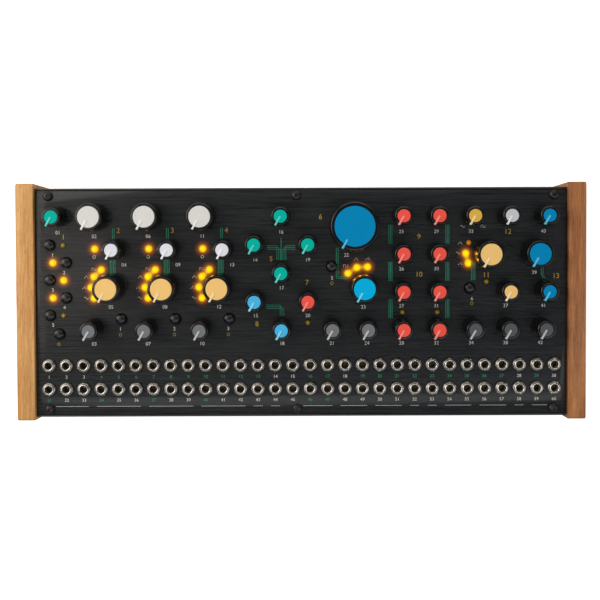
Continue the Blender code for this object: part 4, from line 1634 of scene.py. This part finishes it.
@dataclass
class Case(Assembly):
    """The folded steel tray on four rubber feet."""

    edge_mm: float = 0.35
    foot_height_mm: float = 3.0
    foot_inset_mm: float = 18.0

    def foot(self) -> bpy.types.Object:
        """Model a rubber foot with its screw recess.

        Returns:
            The master piece, standing at the origin.
        """
        high = self.foot_height_mm
        points = [(1.6, 1.4), (1.6, 0.15), (1.9, 0.0), (5.5, 0.0), (5.8, 0.25), (6.0, 1.4), (6.0, high),
                  (1.6, high)]
        return Bench.smooth(Bench.turned("foot_master", points, 40, ring=True))

    def build(self) -> None:
        """Copy the tray without its feet, round its bends and add the feet with their screws."""
        tray = Bench.copy_of_node("case_tray", "steel_tray", self.foot_height_mm * MM + 0.00001)
        Bench.soften(tray, self.edge_mm * MM, degrees=60.0)
        self.own(tray, PowderCoat(), "powder_coat", "case_tray")
        foot = self.foot()
        points = [(1.5, 2.6), (1.5, 1.5), (1.1, 1.2), (0.5, 1.15)]
        screw = Bench.smooth(Bench.turned("foot_screw_master", points, 20))
        rubber = MouldedPlastic("foot_rubber", linear(34, 34, 35), roughness=0.7, grain=0.25, gloss=0.3)
        steel = Metal("foot_screw_steel", linear(150, 150, 150), 0.3)
        low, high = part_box("case_tray")
        inset = self.foot_inset_mm * MM
        spots = [(x, y) for x in (low.x + inset, high.x - inset) for y in (low.y + inset, high.y - inset)]
        for index, (x, y) in enumerate(spots):
            place = Matrix.Translation((x, y, 0))
            self.own(Bench.stamp(foot, f"rubber_foot_{index + 1}", place), rubber, "rubber", "case_tray")
            self.own(Bench.stamp(screw, f"foot_screw_{index + 1}", place), steel, "screw_black")
        Bench.discard(foot, screw)


@dataclass
class Cheeks(Assembly):
    """The two wooden cheeks."""

    edge_mm: float = 0.45

    def build(self) -> None:
        """Copy each cheek, ease its edges and give it its own board of wood; the right board is darker and
        redder, partly its own tone and partly painted shade for the dimmer right side.
        """
        woods = {
            "left_cheek": CherryWood("cherry_left", linear(236, 184, 112), linear(192, 126, 64), 0.31),
            # The right cheek's darker, redder wood is partly the board's own tone and partly painted shade of
            # the dimmer right side.
            "right_cheek": CherryWood("cherry_right_tone_and_shade", linear(204, 137, 80), linear(138, 80, 42), 1.7),
        }
        for node, wood in woods.items():
            piece = Bench.copy_of_node(node, f"{node}_board")
            Bench.soften(piece, self.edge_mm * MM, 3, 50.0)
            self.own(piece, wood, "cherry_wood", node)


@dataclass
class Boards(Assembly):
    """The circuit boards, which keep their CAD shapes, and the rear sockets' small parts."""

    power_x: float = 0.128
    data_x: float = 0.106
    round_x: float = 0.081
    socket_z: float = 0.0195
    mask_depth: float = 0.0128
    mask_lift: float = 0.0002
    power_pin_depth: float = 0.0097
    round_pins: int = 5
    round_pin_depth: float = 0.0062
    round_pin_step: int = 45
    pin_circle: float = 0.0038
    tongue_depth: float = 0.0058
    tongue_size: Triple = (0.0056, 0.0078, 0.0030)
    tongue_edge: float = 0.0003

    def build(self) -> None:
        """Dress the carried boards and add the pins inside the rear sockets."""
        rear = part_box("case_tray")[1].y
        normal = (0.0, -math.sin(SLOPE), math.cos(SLOPE))
        level = Vector(normal).dot(PANEL_CENTRE) + BOARD_TOP_MM * MM + self.mask_lift
        boards = {
            "control_board": BoardMask("control_board_mask", normal, level, (0.05, 0.05, 0.055, 1)),
            "jack_board": BoardMask("jack_board_mask", normal, level, (0.012, 0.012, 0.012, 1)),
            "rear_socket_board": BoardMask("socket_board_mask", (0.0, 1.0, 0.0), rear - self.mask_depth,
                                           (0.02, 0.02, 0.021, 1)),
        }
        for node, finish in boards.items():
            self.dress(frame["nodes"][node], finish)
            LOG.info("%s keeps its CAD shape", node)
        steel = Metal("contact_steel", linear(200, 198, 192), 0.22)
        pin = Bench.smooth(Bench.turned("pin_master", [(1.0, 0.0), (1.0, 7.0), (0.8, 7.6), (0.4, 7.9)], 20))
        thin = Bench.smooth(Bench.turned("thin_pin_master", [(0.5, 0.0), (0.5, 4.4), (0.3, 4.8)], 12))
        spots = [("power_inlet_pin", pin, self.power_x, self.power_pin_depth, self.socket_z)]
        for index in range(self.round_pins):
            turn = math.radians(self.round_pin_step * index)
            x = self.round_x + self.pin_circle * math.cos(turn)
            z = self.socket_z + self.pin_circle * math.sin(turn)
            spots.append((f"round_socket_contact_{index + 1}", thin, x, self.round_pin_depth, z))
        for name, master, x, depth, z in spots:
            place = Matrix.Translation((x, rear - depth, z)) @ Matrix.Rotation(math.radians(-90), 4, "X")
            self.own(Bench.stamp(master, name, place), steel, "jack_nickel")
        middle = (self.data_x, rear - self.tongue_depth, self.socket_z)
        tongue = Bench.block("data_socket_tongue", middle, self.tongue_size, self.tongue_edge)
        white = MouldedPlastic("tongue_white", linear(206, 204, 198), roughness=0.45)
        self.own(tongue, white, "socket_black")
        Bench.discard(pin, thin)


# Studio
@dataclass(frozen=True)
class SoftBox:
    """A soft rectangular lamp: its name, place, sides in metres, power in watts and colour."""

    name: str
    at: Triple
    size: Spot
    power: float
    colour: Triple


@dataclass
class Studio:
    """The pale floor, the soft lamps and the camera over the object."""

    camera_at: Triple = (0.003248, 0.021053, 0.579197)
    camera_turn: Triple = (2.058996, 0.015824, -0.207518)
    lens_mm: float = 55.569
    shift: Spot = (-0.010833, -0.11444)
    aim: Triple = (0.0, 0.0, 0.04)
    air: Colour = (0.93, 0.96, 1.0, 1.0)
    air_strength: float = 0.17
    glow_watts: float = 0.0004
    glow_colour: Triple = (1.0, 0.34, 0.02)
    glow_height_mm: float = 2.6

    soft_boxes: ClassVar[tuple[SoftBox, ...]] = (
        SoftBox("key_lamp", (-0.78, 0.25, 0.72), (0.6, 0.7), 4.9, (1.0, 0.96, 0.90)),
        SoftBox("top_lamp", (0.1, 0.75, 1.2), (1.2, 0.6), 2.6, (1.0, 0.99, 0.97)),
        SoftBox("fill_lamp", (1.05, -0.3, 0.8), (0.8, 0.8), 2.0, (0.95, 0.97, 1.0)),
        SoftBox("left_lamp", (-0.47, -0.07, 0.9), (0.24, 0.4), 0.6, (1.0, 0.90, 0.80)),
        SoftBox("front_lamp", (0.05, -0.475, 1.1), (1.4, 0.2), 2.8, (0.97, 0.98, 1.0)),
        SoftBox("rear_strip", (-0.1, 0.95, 0.34), (1.9, 0.16), 2.6, (1.0, 0.99, 0.97)),
        SoftBox("left_strip", (-0.95, 0.1, 0.34), (0.9, 0.16), 1.2, (1.0, 0.98, 0.95)))

    def floor(self) -> None:
        """Lay the floor."""
        floor = Bench.settle(Bench.fresh(bpy.ops.mesh.primitive_plane_add, size=6.0), "studio_floor")
        floor.data.materials.append(StudioWhite().material())

    def world(self) -> None:
        """Surround the scene with even pale light."""
        world = bpy.data.worlds.new("studio_air")
        bpy.context.scene.world = world
        world.use_nodes = True
        background = world.node_tree.nodes["Background"]
        background.inputs["Color"].default_value = self.air
        background.inputs["Strength"].default_value = self.air_strength

    def lamp(self, box: SoftBox) -> None:
        """Hang a soft lamp and point it at the object.

        Args:
            box: The lamp's sizes, place and power.
        """
        light = bpy.data.lights.new(box.name, "AREA")
        light.shape = "RECTANGLE"
        light.size, light.size_y = box.size
        light.energy = box.power
        light.color = box.colour
        holder = Bench.hang(box.name, light)
        holder.location = box.at
        holder.rotation_euler = (Vector(self.aim) - Vector(box.at)).to_track_quat("-Z", "Y").to_euler()

    def glow(self, spot: LampSpot) -> None:
        """Let a lit lamp shine on what stands round it.

        Args:
            spot: The lamp.
        """
        light = bpy.data.lights.new(f"{spot.name}_glow", "POINT")
        light.energy = self.glow_watts
        light.color = self.glow_colour
        light.shadow_soft_size = 0.001
        place = on_panel(spot.u_mm, spot.v_mm, self.glow_height_mm)
        Bench.hang(light.name, light).location = place.translation

    def camera(self) -> None:
        """Set up the camera above the panel."""
        camera = bpy.data.cameras.new("camera")
        camera.lens = self.lens_mm
        camera.sensor_width = 36.0
        camera.shift_x, camera.shift_y = self.shift
        holder = Bench.hang("camera", camera)
        holder.location = self.camera_at
        holder.rotation_euler = tuple(math.radians(turn) for turn in self.camera_turn)
        bpy.context.scene.camera = holder

    def build(self) -> None:
        """Build the whole studio."""
        self.floor()
        self.world()
        for box in self.soft_boxes:
            self.lamp(box)
        for spot in LampSet().lit():
            self.glow(spot)
        self.camera()
        bpy.context.scene.view_settings.view_transform = "Standard"


def main() -> None:
    """Build every assembly in order, then the studio."""
    logging.basicConfig(level=logging.INFO, format="%(name)s: %(message)s")
    for assembly in (FrontPlate(), PanelPrint(), PanelScrews(), PatchBay(), LampSet(), KnobSet(), ButtonSet(),
                     Case(), Cheeks(), Boards()):
        assembly.build()
        LOG.info("%s is built", type(assembly).__name__)
    Studio().build()


if __name__ == "__main__":
    main()
